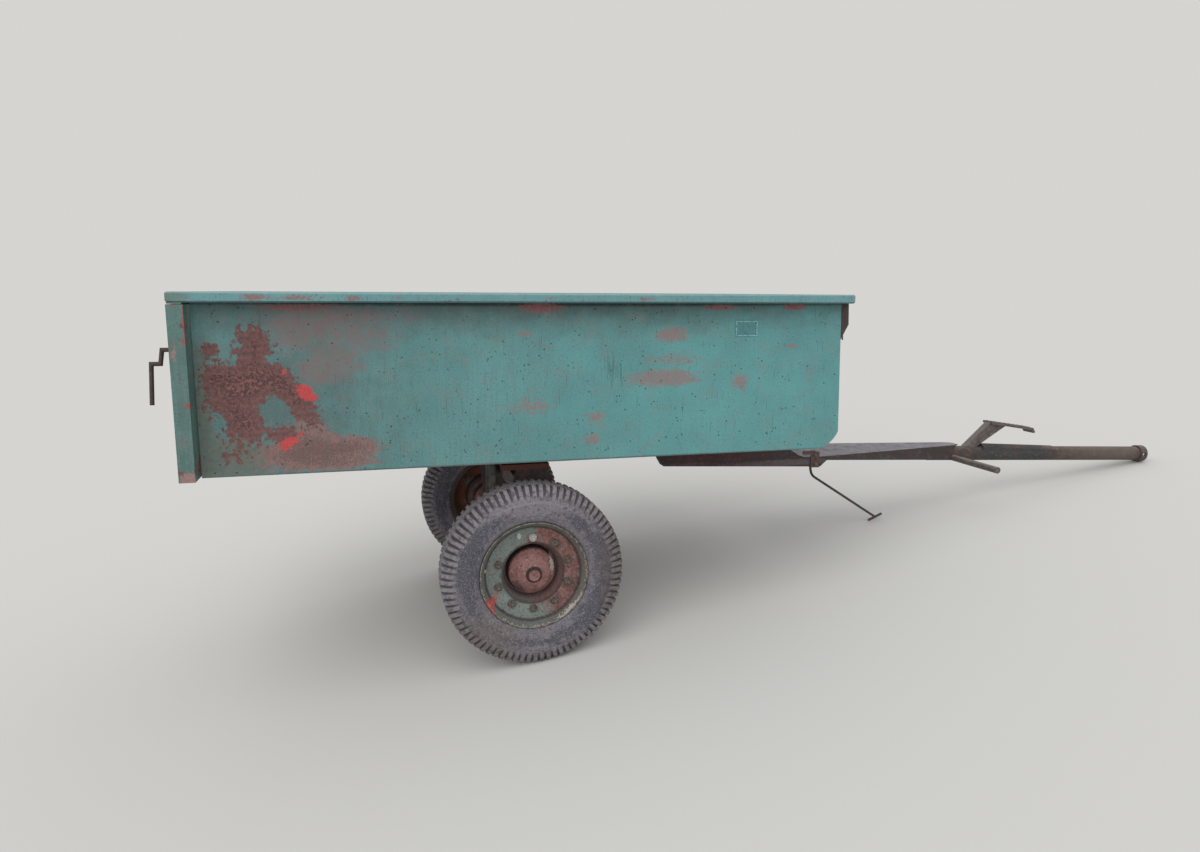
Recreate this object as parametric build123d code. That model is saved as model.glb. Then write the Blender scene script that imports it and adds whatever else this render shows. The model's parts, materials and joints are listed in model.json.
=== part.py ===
"""Small single-axle tipper trailer with a steel bed, parked on its wheels and drawbar.

Everything is modelled level, in millimetres: X runs forward from the axle towards the
drawbar's tip, Y towards the left side, Z up from the axle's centre.  The last section
tilts the finished trailer nose down until the drawbar's tip meets the ground, as it parks.
"""
import math
import os

from build123d import *

# Wheels
TYRE_OD = 575.0
TYRE_WIDTH = 140.0
TREAD_DEPTH = 7.0
TREAD_BARS = 48
BAR_SHARE = 0.55
BAR_DROP = 27.5
BAR_SLANT = 17.0
BAR_END_INSET = 3.0
SHOULDER_INSET = 12.0
SHOULDER_STEP = 26.5
SIDEWALL_STEPS = 3
TRACK = 1002.0
RIM_FLANGE_D = 341.0
RIM_WIDTH = 110.0
RIM_GAUGE = 5.0
RIM_FLANGE_RISE = 19.0
FLANGE_DEPTH = 28.0
NAVE_R = 96.0
NAVE_TAPER = 12.0
NAVE_BORE_R = 52.0
DISC_GAUGE = 6.0
HUB_RECESS = 78.0
HUB_DOME_R = 80.0
HUB_DOME_HEIGHT = 70.0
DOME_STEPS = 3
HUB_PLUG_R = 18.0
PLUG_SEAT = 5.0
PLUG_RISE = 9.0
HUB_DRUM_R = 75.0
HUB_DRUM_LENGTH = 62.0
HUB_NECK = 12.0
STUB_D = 36.0
STUB_SETBACK = 32.0
STUB_POCKET = 26.0

# Bed
BED_HALF_WIDTH = 560.0
BED_REAR_X = -922.0
BED_FRONT_X = 1016.5
BED_FRONT_LEAN = 11.0
FLOOR_Z = 360.0
RIM_TOP_Z = 865.0
SHEET = 3.0
CORNER_CUT_X = 67.0
CORNER_CUT_Z = 55.0
CORNER_BULGE = 9.5
RAIL_HEIGHT = 28.0
RAIL_OVERHANG = 54.0
RAIL_FRONT_OVERHANG = 41.0
RAIL_WALL = 3.0
RAIL_CORNER_R = 56.0
RAIL_EDGE = 4.0
GUSSET_REACH = 27.0
GUSSET_FLARE = 3.0
GUSSET_LIP = 68.0
GUSSET_DROP = 118.0
GUSSET_GAUGE = 5.0
BEARER_DEPTH = 38.0
BEARER_WIDTH = 40.0
BEARER_WALL = 4.0
BEARER_REAR_SETBACK = 8.0
BEARER_FRONT_SETBACK = 12.0
CROSS_BEARER_X = (-860.0, -430.0, 340.0, 915.0)
PLATE_WIDTH = 74.0
PLATE_HEIGHT = 48.0
PLATE_GAUGE = 1.5
PLATE_CENTRE_X = 684.0
PLATE_CENTRE_Z = 758.0

# Tailgate
GATE_DEPTH = 41.0
GATE_GAP = 6.0
GATE_TOP_GAP = 5.0
GATE_RIB_Y = 400.0
GATE_RIB_WIDTH = 60.0
GATE_HINGE_WIDTH = 40.0
HINGE_STRAP_LENGTH = 150.0
HINGE_STRAP_GAUGE = 4.0
HINGE_WEB = 20.0
HINGE_PIN_D = 10.0
HINGE_BARREL_R = 9.0
EAR_GAUGE = 10.0
EAR_GAP = 1.0
EAR_TOP_SETBACK = 8.0
HANDLE_Y = 500.0
HANDLE_D = 12.0
HANDLE_TOP_Z = 708.0
HANDLE_OUT = 41.0
HANDLE_CRANK = 23.0
HANDLE_CRANK_DROP = 38.0
HANDLE_GRIP = 112.0
HANDLE_RAKE = 6.0

# Axle, pedestals and posts
AXLE_SQUARE = 45.0
AXLE_SHOULDER_GAP = 6.0
PIVOT_Z = 262.0
PIVOT_D = 16.0
PIVOT_BOSS = 5.0
PIN_HEAD_LENGTH = 7.0
PIN_HEAD_RISE = 4.0
PIN_HEAD_GAP = 0.5
TYRE_GAP = 20.0
PEDESTAL_GAUGE = 8.0
PEDESTAL_FOOT = 40.0
PEDESTAL_FRONT_X = 100.0
PEDESTAL_REAR_X = -54.0
PEDESTAL_RISE = 46.0
PEDESTAL_CREST_FRONT_X = 72.0
PEDESTAL_CREST_REAR_X = -14.0
PEDESTAL_CHAMFER = 16.0
PEDESTAL_RAKE = 6.0
LUG_GAUGE = 8.0
LUG_GAP = 5.0
LUG_TOP_REAR_X = -34.0
LUG_TOP_FRONT_X = 18.0
LUG_HALF = 11.0
BRACKET_HALF = 78.0
BRACKET_GAUGE = 5.0
BRACKET_SKIRT = 18.0
BRACKET_INSET = 44.0
BOLSTER_FRONT_X = 40.0
BOLSTER_REAR_X = -30.0
BOLSTER_BOTTOM_Z = 214.0
BOLSTER_TOP_Z = 274.0
BOLSTER_WALL = 5.0
POST_OUT_Y = 50.0
POST_IN_Y = 15.0
POST_FLANGE = 23.0
POST_WALL = 5.0
POST_TOP_Z = 283.0
POST_FOOT_GAUGE = 8.0

# Chassis rails and tongue
RAIL_Y = 145.0
RAIL_FLANGE = 46.0
RAIL_GAUGE = 6.0
RAIL_DROP_REAR_X = 1000.0
STEP_REAR_X = 540.0
STEP_FRONT_X = 563.0
STEP_BOTTOM_Z = 233.5
RAIL_END_X = 1243.0
RAIL_NOSE_LENGTH = 33.2
RAIL_NOSE_Z = 200.8
RAIL_NOSE_RISE = 28.2
STRAP_SETBACK = 41.4
STRAP_WIDTH = 35.6
STRAP_GAUGE = 6.0
STRAP_FOOT = 2.5
STRAP_RISE = 21.0
STRAP_LEG = 35.0
STRAP_LEG_RISE = 26.0
STRAP_LEG_GAUGE = 14.0
TONGUE_REAR_X = 1140.0
TONGUE_SHOULDER_X = 1208.0
TONGUE_FRONT_X = 1900.0
TONGUE_NOSE = 35.0
TONGUE_NOSE_HALF = 18.0
TONGUE_TOP_Z = 240.0
TONGUE_SLOPE = 0.3
TONGUE_GAUGE = 5.0
TONGUE_SKIRT_REAR = 16.0
SKIRT_GAP = 0.5
SKIRT_TO_PIPE = 0.5
SKIRT_PIPE_LAP = 8.0

# Drawbar pipe and what it carries
PIPE_D = 62.0
PIPE_WALL = 5.0
PIPE_START_X = 1800.0
PIPE_TIP_X = 2950.0
PIPE_SLOPE = 2.68
COLLAR_D = 74.0
COLLAR_LENGTH = 34.0
HITCH_HOLE_D = 18.0
SADDLE_REAR_X = 2060.0
SADDLE_FRONT_X = 2436.0
SADDLE_RISE_REAR = 12.0
SADDLE_RISE_FRONT = 3.5
SADDLE_HALF = 28.0
SADDLE_SIDE_Z = 12.0
SADDLE_OVERRUN = 9.0
FOOTREST_D = 26.0
FOOTREST_X = 1905.0
FOOTREST_Z = 182.0
FOOTREST_REACH = 300.0
PEDAL_BASE_X = 1983.0
PEDAL_BASE_LENGTH = 50.0
PEDAL_TOP_X = 2096.0
PEDAL_TOP_Z = 328.0
PEDAL_TOP_LENGTH = 86.0
PEDAL_ARM_HALF = 16.0
PEDAL_PLATE_HALF = 30.0
PEDAL_PLATE_GAUGE = 10.0
PEDAL_PLATE_LENGTH = 214.0
PEDAL_PLATE_SLOPE = 9.1
PEDAL_TOE_LENGTH = 12.0
PEDAL_TOE_DROP = 20.0

# Prop leg
PROP_PIN_X = 1200.0
PROP_PIN_Z = 222.0
PROP_PIN_D = 12.0
PROP_ROD_D = 10.0
PROP_EYE_WALL = 5.0
PROP_EYE_HALF = 7.0
PROP_HOOK_X = 47.0
PROP_HOOK_DROP = 40.0
PROP_KNEE_X = 56.0
PROP_KNEE_DROP = 89.0
PROP_HOOK_R = 20.0
PROP_KNEE_R = 45.0
PROP_FOOT_X = 366.0
PROP_FOOT_LENGTH = 60.0
PROP_FOOT_TILT = 24.0

# Clearances
RUNNING_CLEARANCE = 0.06
SEAT_GAP = 0.3
FACE_LAP = 1.0
WELD_GAP = 0.2
GROUND_GAP = 0.5

# Values that follow from the sizes above
WHEEL_R = TYRE_OD / 2
FLANGE_Y = RIM_WIDTH / 2
FLANGE_R = RIM_FLANGE_D / 2
SEAT_R = FLANGE_R - RIM_FLANGE_RISE
DISC_Y = FLANGE_Y - FLANGE_DEPTH
NAVE_Y = FLANGE_Y - HUB_RECESS
RAIL_BOTTOM_Z = RIM_TOP_Z - RAIL_HEIGHT
RAIL_OUT_Y = BED_HALF_WIDTH + RAIL_OVERHANG
RIM_FRONT_X = BED_FRONT_X + RAIL_FRONT_OVERHANG
FRONT_FOOT_X = BED_FRONT_X + BED_FRONT_LEAN
FRONT_FOOT_Z = FLOOR_Z + CORNER_CUT_Z
GATE_FRONT_X = BED_REAR_X - GATE_GAP
GATE_REAR_X = GATE_FRONT_X - GATE_DEPTH
GATE_TOP_Z = RAIL_BOTTOM_Z - GATE_TOP_GAP
AXIS_X = GATE_REAR_X - HINGE_BARREL_R
AXIS_Z = GATE_TOP_Z
BEARER_BOTTOM_Z = FLOOR_Z - BEARER_DEPTH
RAIL_TOP_Z = BEARER_BOTTOM_Z - SEAT_GAP
PIN_END_Y = TRACK / 2 - TYRE_WIDTH / 2 - TYRE_GAP
LUG_OUT_Y = PIN_END_Y - PIN_HEAD_LENGTH
LUG_IN_Y = LUG_OUT_Y - LUG_GAUGE
PEDESTAL_OUT_Y = LUG_IN_Y - LUG_GAP
PEDESTAL_IN_Y = PEDESTAL_OUT_Y - PEDESTAL_GAUGE
LONG_BEARER_Y = LUG_OUT_Y - BRACKET_INSET
AXLE_TOP_Z = AXLE_SQUARE / 2
RAIL_NOSE_X = RAIL_END_X - RAIL_NOSE_LENGTH
TONGUE_FRONT_HALF = PIPE_D / 2 + SKIRT_TO_PIPE + TONGUE_GAUGE
PIPE_ANGLE = math.radians(PIPE_SLOPE)

SIDES = (("left", 1), ("right", -1))

parts = {}


def block(x0, x1, y0, y1, z0, z1):
    """A box between two opposite corners."""
    centre = ((x0 + x1) / 2, (y0 + y1) / 2, (z0 + z1) / 2)
    return Pos(*centre) * Box(abs(x1 - x0), abs(y1 - y0), abs(z1 - z0))


def side_prism(points, y0, y1):
    """A side outline, given as (x, z) points, carried across from y0 to y1."""
    wire = Polyline(*[(x, min(y0, y1), z) for x, z in points], close=True)
    return extrude(make_face(wire), amount=abs(y1 - y0), dir=(0, 1, 0))


def plan_prism(points, z0, z1):
    """A plan outline, given as (x, y) points, carried up from z0 to z1."""
    wire = Polyline(*[(x, y, z0) for x, y in points], close=True)
    return extrude(make_face(wire), amount=z1 - z0, dir=(0, 0, 1))


def rod(start, end, radius):
    """A round bar between two points."""
    a, b = Vector(*start), Vector(*end)
    return Solid.make_cylinder(radius, (b - a).length, Plane(origin=a, z_dir=(b - a)))


def bent_rod(points, radius, bends=()):
    """A round bar along straight runs: a bend radius at each corner that has one, mitred elsewhere."""
    line = Polyline(*points)
    for corner, bend in zip(points[1:-1], bends):
        line = fillet(line.vertices().sort_by_distance(corner)[0], bend)
    section = Plane(origin=line.position_at(0), z_dir=line.tangent_at(0)) * Circle(radius)
    return sweep(section, path=line, transition=Transition.RIGHT)


def turned(profile):
    """A profile of (radius, y) points turned about the axle line."""
    wire = Polyline(*[(r, y, 0) for r, y in profile], close=True)
    return revolve(make_face(wire), Axis.Y, 360)


def mirrored(shape, side):
    """The shape on the left side, or its mirror image on the right."""
    return shape if side > 0 else mirror(shape, Plane.XZ)


def front_wall_x(z):
    """Outer face of the bed's leaning front wall at height z."""
    share = (RAIL_BOTTOM_Z - z) / (RAIL_BOTTOM_Z - FRONT_FOOT_Z)
    return BED_FRONT_X + BED_FRONT_LEAN * share


def tongue_half(x):
    """Half the width of the tongue plate at x."""
    share = max(x - TONGUE_SHOULDER_X, 0) / (TONGUE_FRONT_X - TONGUE_SHOULDER_X)
    return RAIL_Y + (TONGUE_FRONT_HALF - RAIL_Y) * share


def tongue_top(x):
    """Height of the tongue plate's top face at x."""
    return TONGUE_TOP_Z - (x - TONGUE_SHOULDER_X) * math.tan(math.radians(TONGUE_SLOPE))


def pipe_axis(x):
    """Height of the drawbar pipe's axis at x: its rear end meets the tongue plate."""
    rear_axis = tongue_top(PIPE_START_X) - TONGUE_GAUGE - PIPE_D / 2 - WELD_GAP
    return rear_axis - (x - PIPE_START_X) * math.tan(PIPE_ANGLE)


def pipe_point(x):
    """The point of the drawbar pipe's axis at x."""
    return (x, 0, pipe_axis(x))


# Parked: the trailer tips nose down about its axle until the drawbar's tip meets the ground
tip_x = PIPE_TIP_X - COLLAR_D / 2 * math.sin(PIPE_ANGLE)
tip_z = pipe_axis(PIPE_TIP_X) - COLLAR_D / 2 * math.cos(PIPE_ANGLE)
PARK = math.degrees(math.asin(WHEEL_R / math.hypot(tip_x, tip_z)) + math.atan2(tip_z, tip_x))


def ground_z(x):
    """Height of the ground under the parked trailer at x, in its own level frame."""
    lean = math.radians(PARK)
    return x * math.tan(lean) - WHEEL_R / math.cos(lean)


# Wheels: tyre with bars across its tread, rim with a dished disc, hub with its dome cap
def make_tyre():
    """One tyre about the origin, its axis along Y; each bar runs down both shoulders."""
    half = TYRE_WIDTH / 2
    crown = WHEEL_R - TREAD_DEPTH
    side_y = half - SHOULDER_INSET
    step_r = crown - SHOULDER_STEP
    heel = (SEAT_R + SEAT_GAP, FLANGE_Y - RIM_GAUGE - FLANGE_DEPTH - SEAT_GAP)
    bead = (FLANGE_R + 2 * SEAT_GAP, FLANGE_Y - RIM_GAUGE + SEAT_GAP)
    widest = 2 / 3
    bulge = (half - bead[1] - (side_y - bead[1]) * widest) / math.sin(math.pi * widest)
    sidewall = []
    for step in range(1, SIDEWALL_STEPS + 1):
        t = step / SIDEWALL_STEPS
        swell = bulge * math.sin(math.pi * t)
        sidewall.append((bead[0] + (step_r - bead[0]) * t, bead[1] + (side_y - bead[1]) * t + swell))
    outline = [heel, bead] + sidewall
    casing = turned(outline + [(r, -y) for r, y in reversed(outline)])

    pitch = 360.0 / TREAD_BARS
    flats = Plane.XZ * Rot(0, 0, 90 + pitch / 2) * RegularPolygon(crown, TREAD_BARS)
    tread = extrude(flats, amount=side_y, both=True)
    tread = tread - rod((0, -half, 0), (0, half, 0), step_r - SHOULDER_STEP / 2)
    bar_width = 2 * math.pi * WHEEL_R / TREAD_BARS * BAR_SHARE
    foot_r = WHEEL_R - BAR_DROP
    bar_side = half - BAR_END_INSET
    edge = [(side_y - TREAD_DEPTH, foot_r), (bar_side, foot_r), (bar_side - BAR_SLANT, WHEEL_R)]
    section = edge + [(-y, r) for y, r in reversed(edge)]
    wire = Polyline(*[(-bar_width / 2, y, r) for y, r in section], close=True)
    bar = extrude(make_face(wire), amount=bar_width, dir=(1, 0, 0))
    return casing + tread + [Rot(0, i * pitch, 0) * bar for i in range(TREAD_BARS)]


def make_rim():
    """One rim about the origin; its outer side faces +Y."""
    flange_in = FLANGE_Y - RIM_GAUGE
    seat_y = flange_in - FLANGE_DEPTH
    under_r = SEAT_R - RIM_GAUGE
    back_y = DISC_Y - DISC_GAUGE
    nave_back_y = NAVE_Y - DISC_GAUGE
    outside = [(FLANGE_R, FLANGE_Y), (FLANGE_R, flange_in), (SEAT_R, seat_y)]
    outside += [(SEAT_R, -seat_y), (FLANGE_R, -flange_in), (FLANGE_R, -FLANGE_Y)]
    back = [(under_r, -DISC_Y), (under_r, back_y), (NAVE_R + DISC_GAUGE / 2, back_y)]
    back += [(NAVE_R - NAVE_TAPER + DISC_GAUGE / 2, nave_back_y), (NAVE_BORE_R, nave_back_y)]
    front = [(NAVE_BORE_R, NAVE_Y), (NAVE_R - NAVE_TAPER, NAVE_Y), (NAVE_R, DISC_Y), (under_r, DISC_Y)]
    return turned(outside + back + front)


def make_hub():
    """One hub about the origin, dome cap towards +Y, running on the stub axle."""
    bore = STUB_D / 2 + RUNNING_CLEARANCE
    neck = NAVE_BORE_R - SEAT_GAP
    drum_y = NAVE_Y - HUB_NECK
    cap = [(bore, drum_y - HUB_DRUM_LENGTH + HUB_NECK), (HUB_DRUM_R, drum_y - HUB_DRUM_LENGTH + HUB_NECK)]
    cap += [(HUB_DRUM_R, drum_y), (neck, drum_y), (neck, NAVE_Y + SEAT_GAP)]
    last = math.acos((HUB_PLUG_R + PLUG_SEAT) / HUB_DOME_R)
    for step in range(DOME_STEPS + 1):
        angle = last * step / DOME_STEPS
        rise = HUB_DOME_HEIGHT * math.sin(angle)
        cap.append((HUB_DOME_R * math.cos(angle), NAVE_Y + SEAT_GAP + rise))
    dome_end = cap[-1][1]
    cap += [(HUB_PLUG_R, dome_end), (HUB_PLUG_R, dome_end + PLUG_RISE), (0, dome_end + PLUG_RISE)]
    cap += [(0, FLANGE_Y - STUB_POCKET), (bore, FLANGE_Y - STUB_POCKET)]
    return turned(cap)


for name, side in SIDES:
    for piece, shape in (("tyre", make_tyre()), ("rim", make_rim()), ("hub", make_hub())):
        parts[f"{piece}_{name}"] = mirrored(Pos(0, TRACK / 2, 0) * shape, side)

# Axle: square bar with a round stub in each hub
stub_end_y = TRACK / 2 + FLANGE_Y - STUB_SETBACK
shoulder_y = TRACK / 2 + NAVE_Y - HUB_DRUM_LENGTH - AXLE_SHOULDER_GAP
half_bar = AXLE_SQUARE / 2
axle = block(-half_bar, half_bar, -shoulder_y, shoulder_y, -half_bar, half_bar)
parts["axle_beam"] = axle + rod((0, -stub_end_y, 0), (0, stub_end_y, 0), STUB_D / 2)

# Pedestals carry the tipping pivot; a pair of posts stands behind the bolster
crest_z = PIVOT_Z + PEDESTAL_RISE
waist_z = BOLSTER_BOTTOM_Z
pedestal = [(-PEDESTAL_FOOT, AXLE_TOP_Z), (PEDESTAL_FOOT, AXLE_TOP_Z), (PEDESTAL_FRONT_X, waist_z)]
pedestal += [(PEDESTAL_FRONT_X - PEDESTAL_RAKE, PIVOT_Z), (PEDESTAL_CREST_FRONT_X, crest_z)]
pedestal += [(PEDESTAL_CREST_REAR_X, crest_z)]
pedestal += [(PEDESTAL_CREST_REAR_X - PEDESTAL_CHAMFER, crest_z - PEDESTAL_CHAMFER)]
pedestal += [(PEDESTAL_REAR_X, waist_z)]
for name, side in SIDES:
    plate = side_prism(pedestal, PEDESTAL_IN_Y, PEDESTAL_OUT_Y)
    pin = rod((0, PEDESTAL_OUT_Y, PIVOT_Z), (0, PIN_END_Y, PIVOT_Z), PIVOT_D / 2)
    head_y = LUG_OUT_Y + PIN_HEAD_GAP
    head = rod((0, head_y, PIVOT_Z), (0, PIN_END_Y, PIVOT_Z), PIVOT_D / 2 + PIN_HEAD_RISE)
    parts[f"pedestal_{name}"] = mirrored(plate + pin + head, side)

    web_x = BOLSTER_REAR_X - POST_FLANGE
    post_rear_x = web_x - POST_FLANGE + POST_WALL
    angle = block(post_rear_x, web_x + POST_WALL, POST_OUT_Y - POST_WALL, POST_OUT_Y, AXLE_TOP_Z, POST_TOP_Z)
    angle += block(web_x, web_x + POST_WALL, POST_IN_Y, POST_OUT_Y, AXLE_TOP_Z, POST_TOP_Z)
    angle += block(web_x, BOLSTER_REAR_X, POST_IN_Y, POST_IN_Y + POST_WALL, AXLE_TOP_Z, POST_TOP_Z)
    foot = block(post_rear_x, half_bar, POST_IN_Y, POST_OUT_Y, AXLE_TOP_Z, AXLE_TOP_Z + POST_FOOT_GAUGE)
    parts[f"post_{name}"] = mirrored(angle + foot, side)

bolster = block(
    BOLSTER_REAR_X, BOLSTER_FRONT_X, -PEDESTAL_IN_Y, PEDESTAL_IN_Y, BOLSTER_BOTTOM_Z, BOLSTER_TOP_Z)
core_x = (BOLSTER_REAR_X + BOLSTER_WALL, BOLSTER_FRONT_X - BOLSTER_WALL)
core_z = (BOLSTER_BOTTOM_Z + BOLSTER_WALL, BOLSTER_TOP_Z - BOLSTER_WALL)
parts["bolster"] = bolster - block(*core_x, -PEDESTAL_IN_Y - FACE_LAP, PEDESTAL_IN_Y + FACE_LAP, *core_z)


# Chassis rails: channels, low ahead of the slanted step and high behind it
def rail_under(x):
    """Height of a rail's underside ahead of the step."""
    share = (x - STEP_FRONT_X) / (RAIL_NOSE_X - STEP_FRONT_X)
    return STEP_BOTTOM_Z + (RAIL_NOSE_Z - STEP_BOTTOM_Z) * share


def rail_outline(inset):
    """Side outline of a rail up to its nose, drawn in by the given inset along its top and bottom."""
    return [
        (TONGUE_REAR_X, tongue_top(TONGUE_REAR_X) - TONGUE_GAUGE - inset),
        (RAIL_DROP_REAR_X, RAIL_TOP_Z - inset),
        (BOLSTER_REAR_X, RAIL_TOP_Z - inset),
        (BOLSTER_REAR_X, BOLSTER_TOP_Z + inset),
        (STEP_REAR_X, BOLSTER_TOP_Z + inset),
        (STEP_FRONT_X, STEP_BOTTOM_Z + inset),
        (RAIL_NOSE_X, RAIL_NOSE_Z + inset),
    ]


nose_top = [(x, tongue_top(x) - TONGUE_GAUGE) for x in (RAIL_END_X, TONGUE_REAR_X)]
rail_side = rail_outline(0)[1:] + [(RAIL_END_X, RAIL_NOSE_Z + RAIL_NOSE_RISE)] + nose_top
rail_core = rail_outline(RAIL_GAUGE) + [(RAIL_NOSE_X, tongue_top(RAIL_NOSE_X) - TONGUE_GAUGE - RAIL_GAUGE)]


strap_x = RAIL_END_X - STRAP_SETBACK
strap_rear_x = strap_x - STRAP_WIDTH
leg_top_z = TONGUE_TOP_Z + STRAP_LEG_RISE
strap = [(strap_x, rail_under(strap_x) - STRAP_FOOT), (strap_x, TONGUE_TOP_Z + STRAP_RISE)]
strap += [(strap_x - STRAP_WIDTH / 2, TONGUE_TOP_Z + STRAP_RISE), (strap_x - STRAP_WIDTH / 2, leg_top_z)]
strap += [(strap_rear_x - STRAP_LEG, leg_top_z), (strap_rear_x - STRAP_LEG, leg_top_z - STRAP_LEG_GAUGE)]
strap += [(strap_rear_x, leg_top_z - STRAP_LEG_GAUGE), (strap_rear_x, rail_under(strap_rear_x) - STRAP_FOOT)]
for name, side in SIDES:
    solid = side_prism(rail_side, RAIL_Y - RAIL_FLANGE, RAIL_Y)
    core = side_prism(rail_core, RAIL_Y - RAIL_FLANGE - 1, RAIL_Y - RAIL_GAUGE)
    parts[f"rail_{name}"] = mirrored(solid - core, side)
    parts[f"strap_{name}"] = mirrored(side_prism(strap, RAIL_Y, RAIL_Y + STRAP_GAUGE), side)


# Tongue: folded plate, as wide as the rails at its rear, with skirts that close on the pipe
def tongue_plan(inset):
    """Plan of the tongue, from its rear to where the skirts meet the pipe, drawn in by the inset."""
    stations = (TONGUE_REAR_X, TONGUE_SHOULDER_X, TONGUE_FRONT_X)
    near = [(x, -(tongue_half(x) - inset)) for x in stations]
    return near + [(x, -y) for x, y in reversed(near)]


nose_x = TONGUE_FRONT_X + TONGUE_NOSE
near = [(TONGUE_REAR_X, -RAIL_Y), (TONGUE_SHOULDER_X, -RAIL_Y), (TONGUE_FRONT_X, -TONGUE_FRONT_HALF)]
near += [(nose_x, -TONGUE_NOSE_HALF)]
deck_plan = near + [(x, -y) for x, y in reversed(near)]
deck = [(TONGUE_REAR_X, tongue_top(TONGUE_REAR_X)), (nose_x, tongue_top(nose_x))]
deck_band = deck + [(x, z - TONGUE_GAUGE) for x, z in reversed(deck)]
skirt_x = RAIL_END_X + SKIRT_GAP
skirt_band = [(x, tongue_top(x) - TONGUE_GAUGE / 2) for x in (skirt_x, TONGUE_FRONT_X)]
skirt_band += [(TONGUE_FRONT_X, pipe_axis(TONGUE_FRONT_X) - PIPE_D / 2 + SKIRT_PIPE_LAP)]
skirt_band += [(skirt_x, tongue_top(skirt_x) - TONGUE_SKIRT_REAR)]
low_z, high_z = 0, 2 * TONGUE_TOP_Z
plate = plan_prism(deck_plan, low_z, high_z) & side_prism(deck_band, -RAIL_Y, RAIL_Y)
envelope = plan_prism(tongue_plan(0), low_z, high_z)
skirts = envelope - plan_prism(tongue_plan(TONGUE_GAUGE), low_z, high_z)
skirts = skirts & side_prism(skirt_band, -2 * RAIL_Y, 2 * RAIL_Y)
parts["tongue"] = plate + skirts

# Drawbar pipe with its collar and cross hole, and the tapered saddle welded on top
rear, tip = pipe_point(PIPE_START_X), pipe_point(PIPE_TIP_X)
hitch = pipe_point(PIPE_TIP_X - COLLAR_LENGTH / 2)
hitch_hole = rod((hitch[0], -COLLAR_D, hitch[2]), (hitch[0], COLLAR_D, hitch[2]), HITCH_HOLE_D / 2)
parts["drawbar_pipe"] = rod(rear, tip, PIPE_D / 2) - rod(rear, tip, PIPE_D / 2 - PIPE_WALL) - hitch_hole
collar_rear = pipe_point(PIPE_TIP_X - COLLAR_LENGTH)
parts["pipe_collar"] = rod(collar_rear, tip, COLLAR_D / 2) - rod(collar_rear, tip, PIPE_D / 2) - hitch_hole

saddle_rear = Vector(*pipe_point(SADDLE_REAR_X))
along = Vector(*pipe_point(SADDLE_FRONT_X)) - saddle_rear
saddle_plane = Plane(origin=saddle_rear, z_dir=along)
sleeve = Solid.make_cone(
    PIPE_D / 2 + SADDLE_RISE_REAR, PIPE_D / 2 + SADDLE_RISE_FRONT, along.length, saddle_plane)
sleeve = sleeve - rod(rear, tip, PIPE_D / 2 + WELD_GAP)
cut_ends = (SADDLE_REAR_X - SADDLE_OVERRUN, SADDLE_FRONT_X + SADDLE_OVERRUN)
upper = [(x, pipe_axis(x) + SADDLE_SIDE_Z) for x in cut_ends]
upper += [(x, z + PIPE_D) for x, z in reversed(upper)]
parts["pipe_saddle"] = sleeve & side_prism(upper, -SADDLE_HALF, SADDLE_HALF)

# Footrest peg on the right side of the tongue, and the foot pedal on top of the pipe
peg = rod((FOOTREST_X, 0, FOOTREST_Z), (FOOTREST_X, -FOOTREST_REACH, FOOTREST_Z), FOOTREST_D / 2)
peg = peg - plan_prism(tongue_plan(-WELD_GAP), low_z, high_z)
parts["footrest"] = peg - rod(rear, tip, PIPE_D / 2 + WELD_GAP)

pedal_front_x = PEDAL_BASE_X + PEDAL_BASE_LENGTH
arm = [(PEDAL_BASE_X, pipe_axis(PEDAL_BASE_X)), (pedal_front_x, pipe_axis(pedal_front_x))]
arm += [(pedal_front_x, pipe_axis(pedal_front_x) + PIPE_D / 2)]
plate_slope = math.tan(math.radians(PEDAL_PLATE_SLOPE))
arm_front_x = PEDAL_TOP_X + PEDAL_TOP_LENGTH
arm += [(arm_front_x, PEDAL_TOP_Z - PEDAL_TOP_LENGTH * plate_slope - PEDAL_PLATE_GAUGE / 2)]
arm += [(PEDAL_TOP_X, PEDAL_TOP_Z - PEDAL_PLATE_GAUGE / 2)]
arm += [(PEDAL_BASE_X, pipe_axis(PEDAL_BASE_X) + PIPE_D / 2)]
arm_solid = side_prism(arm, -PEDAL_ARM_HALF, PEDAL_ARM_HALF) - rod(rear, tip, PIPE_D / 2 + WELD_GAP)
plate_end_x = PEDAL_TOP_X + PEDAL_PLATE_LENGTH
plate_end_z = PEDAL_TOP_Z - PEDAL_PLATE_LENGTH * plate_slope
toe_x, toe_z = plate_end_x + PEDAL_TOE_LENGTH, plate_end_z - PEDAL_TOE_DROP
step_plate = [(PEDAL_TOP_X, PEDAL_TOP_Z), (plate_end_x, plate_end_z), (toe_x, toe_z)]
step_plate += [(toe_x - PEDAL_PLATE_GAUGE, toe_z - PEDAL_PLATE_GAUGE / 4)]
step_plate += [(plate_end_x - PEDAL_PLATE_GAUGE / 2, plate_end_z - PEDAL_PLATE_GAUGE)]
step_plate += [(PEDAL_TOP_X, PEDAL_TOP_Z - PEDAL_PLATE_GAUGE)]
parts["foot_pedal"] = arm_solid + side_prism(step_plate, -PEDAL_PLATE_HALF, PEDAL_PLATE_HALF)

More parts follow.
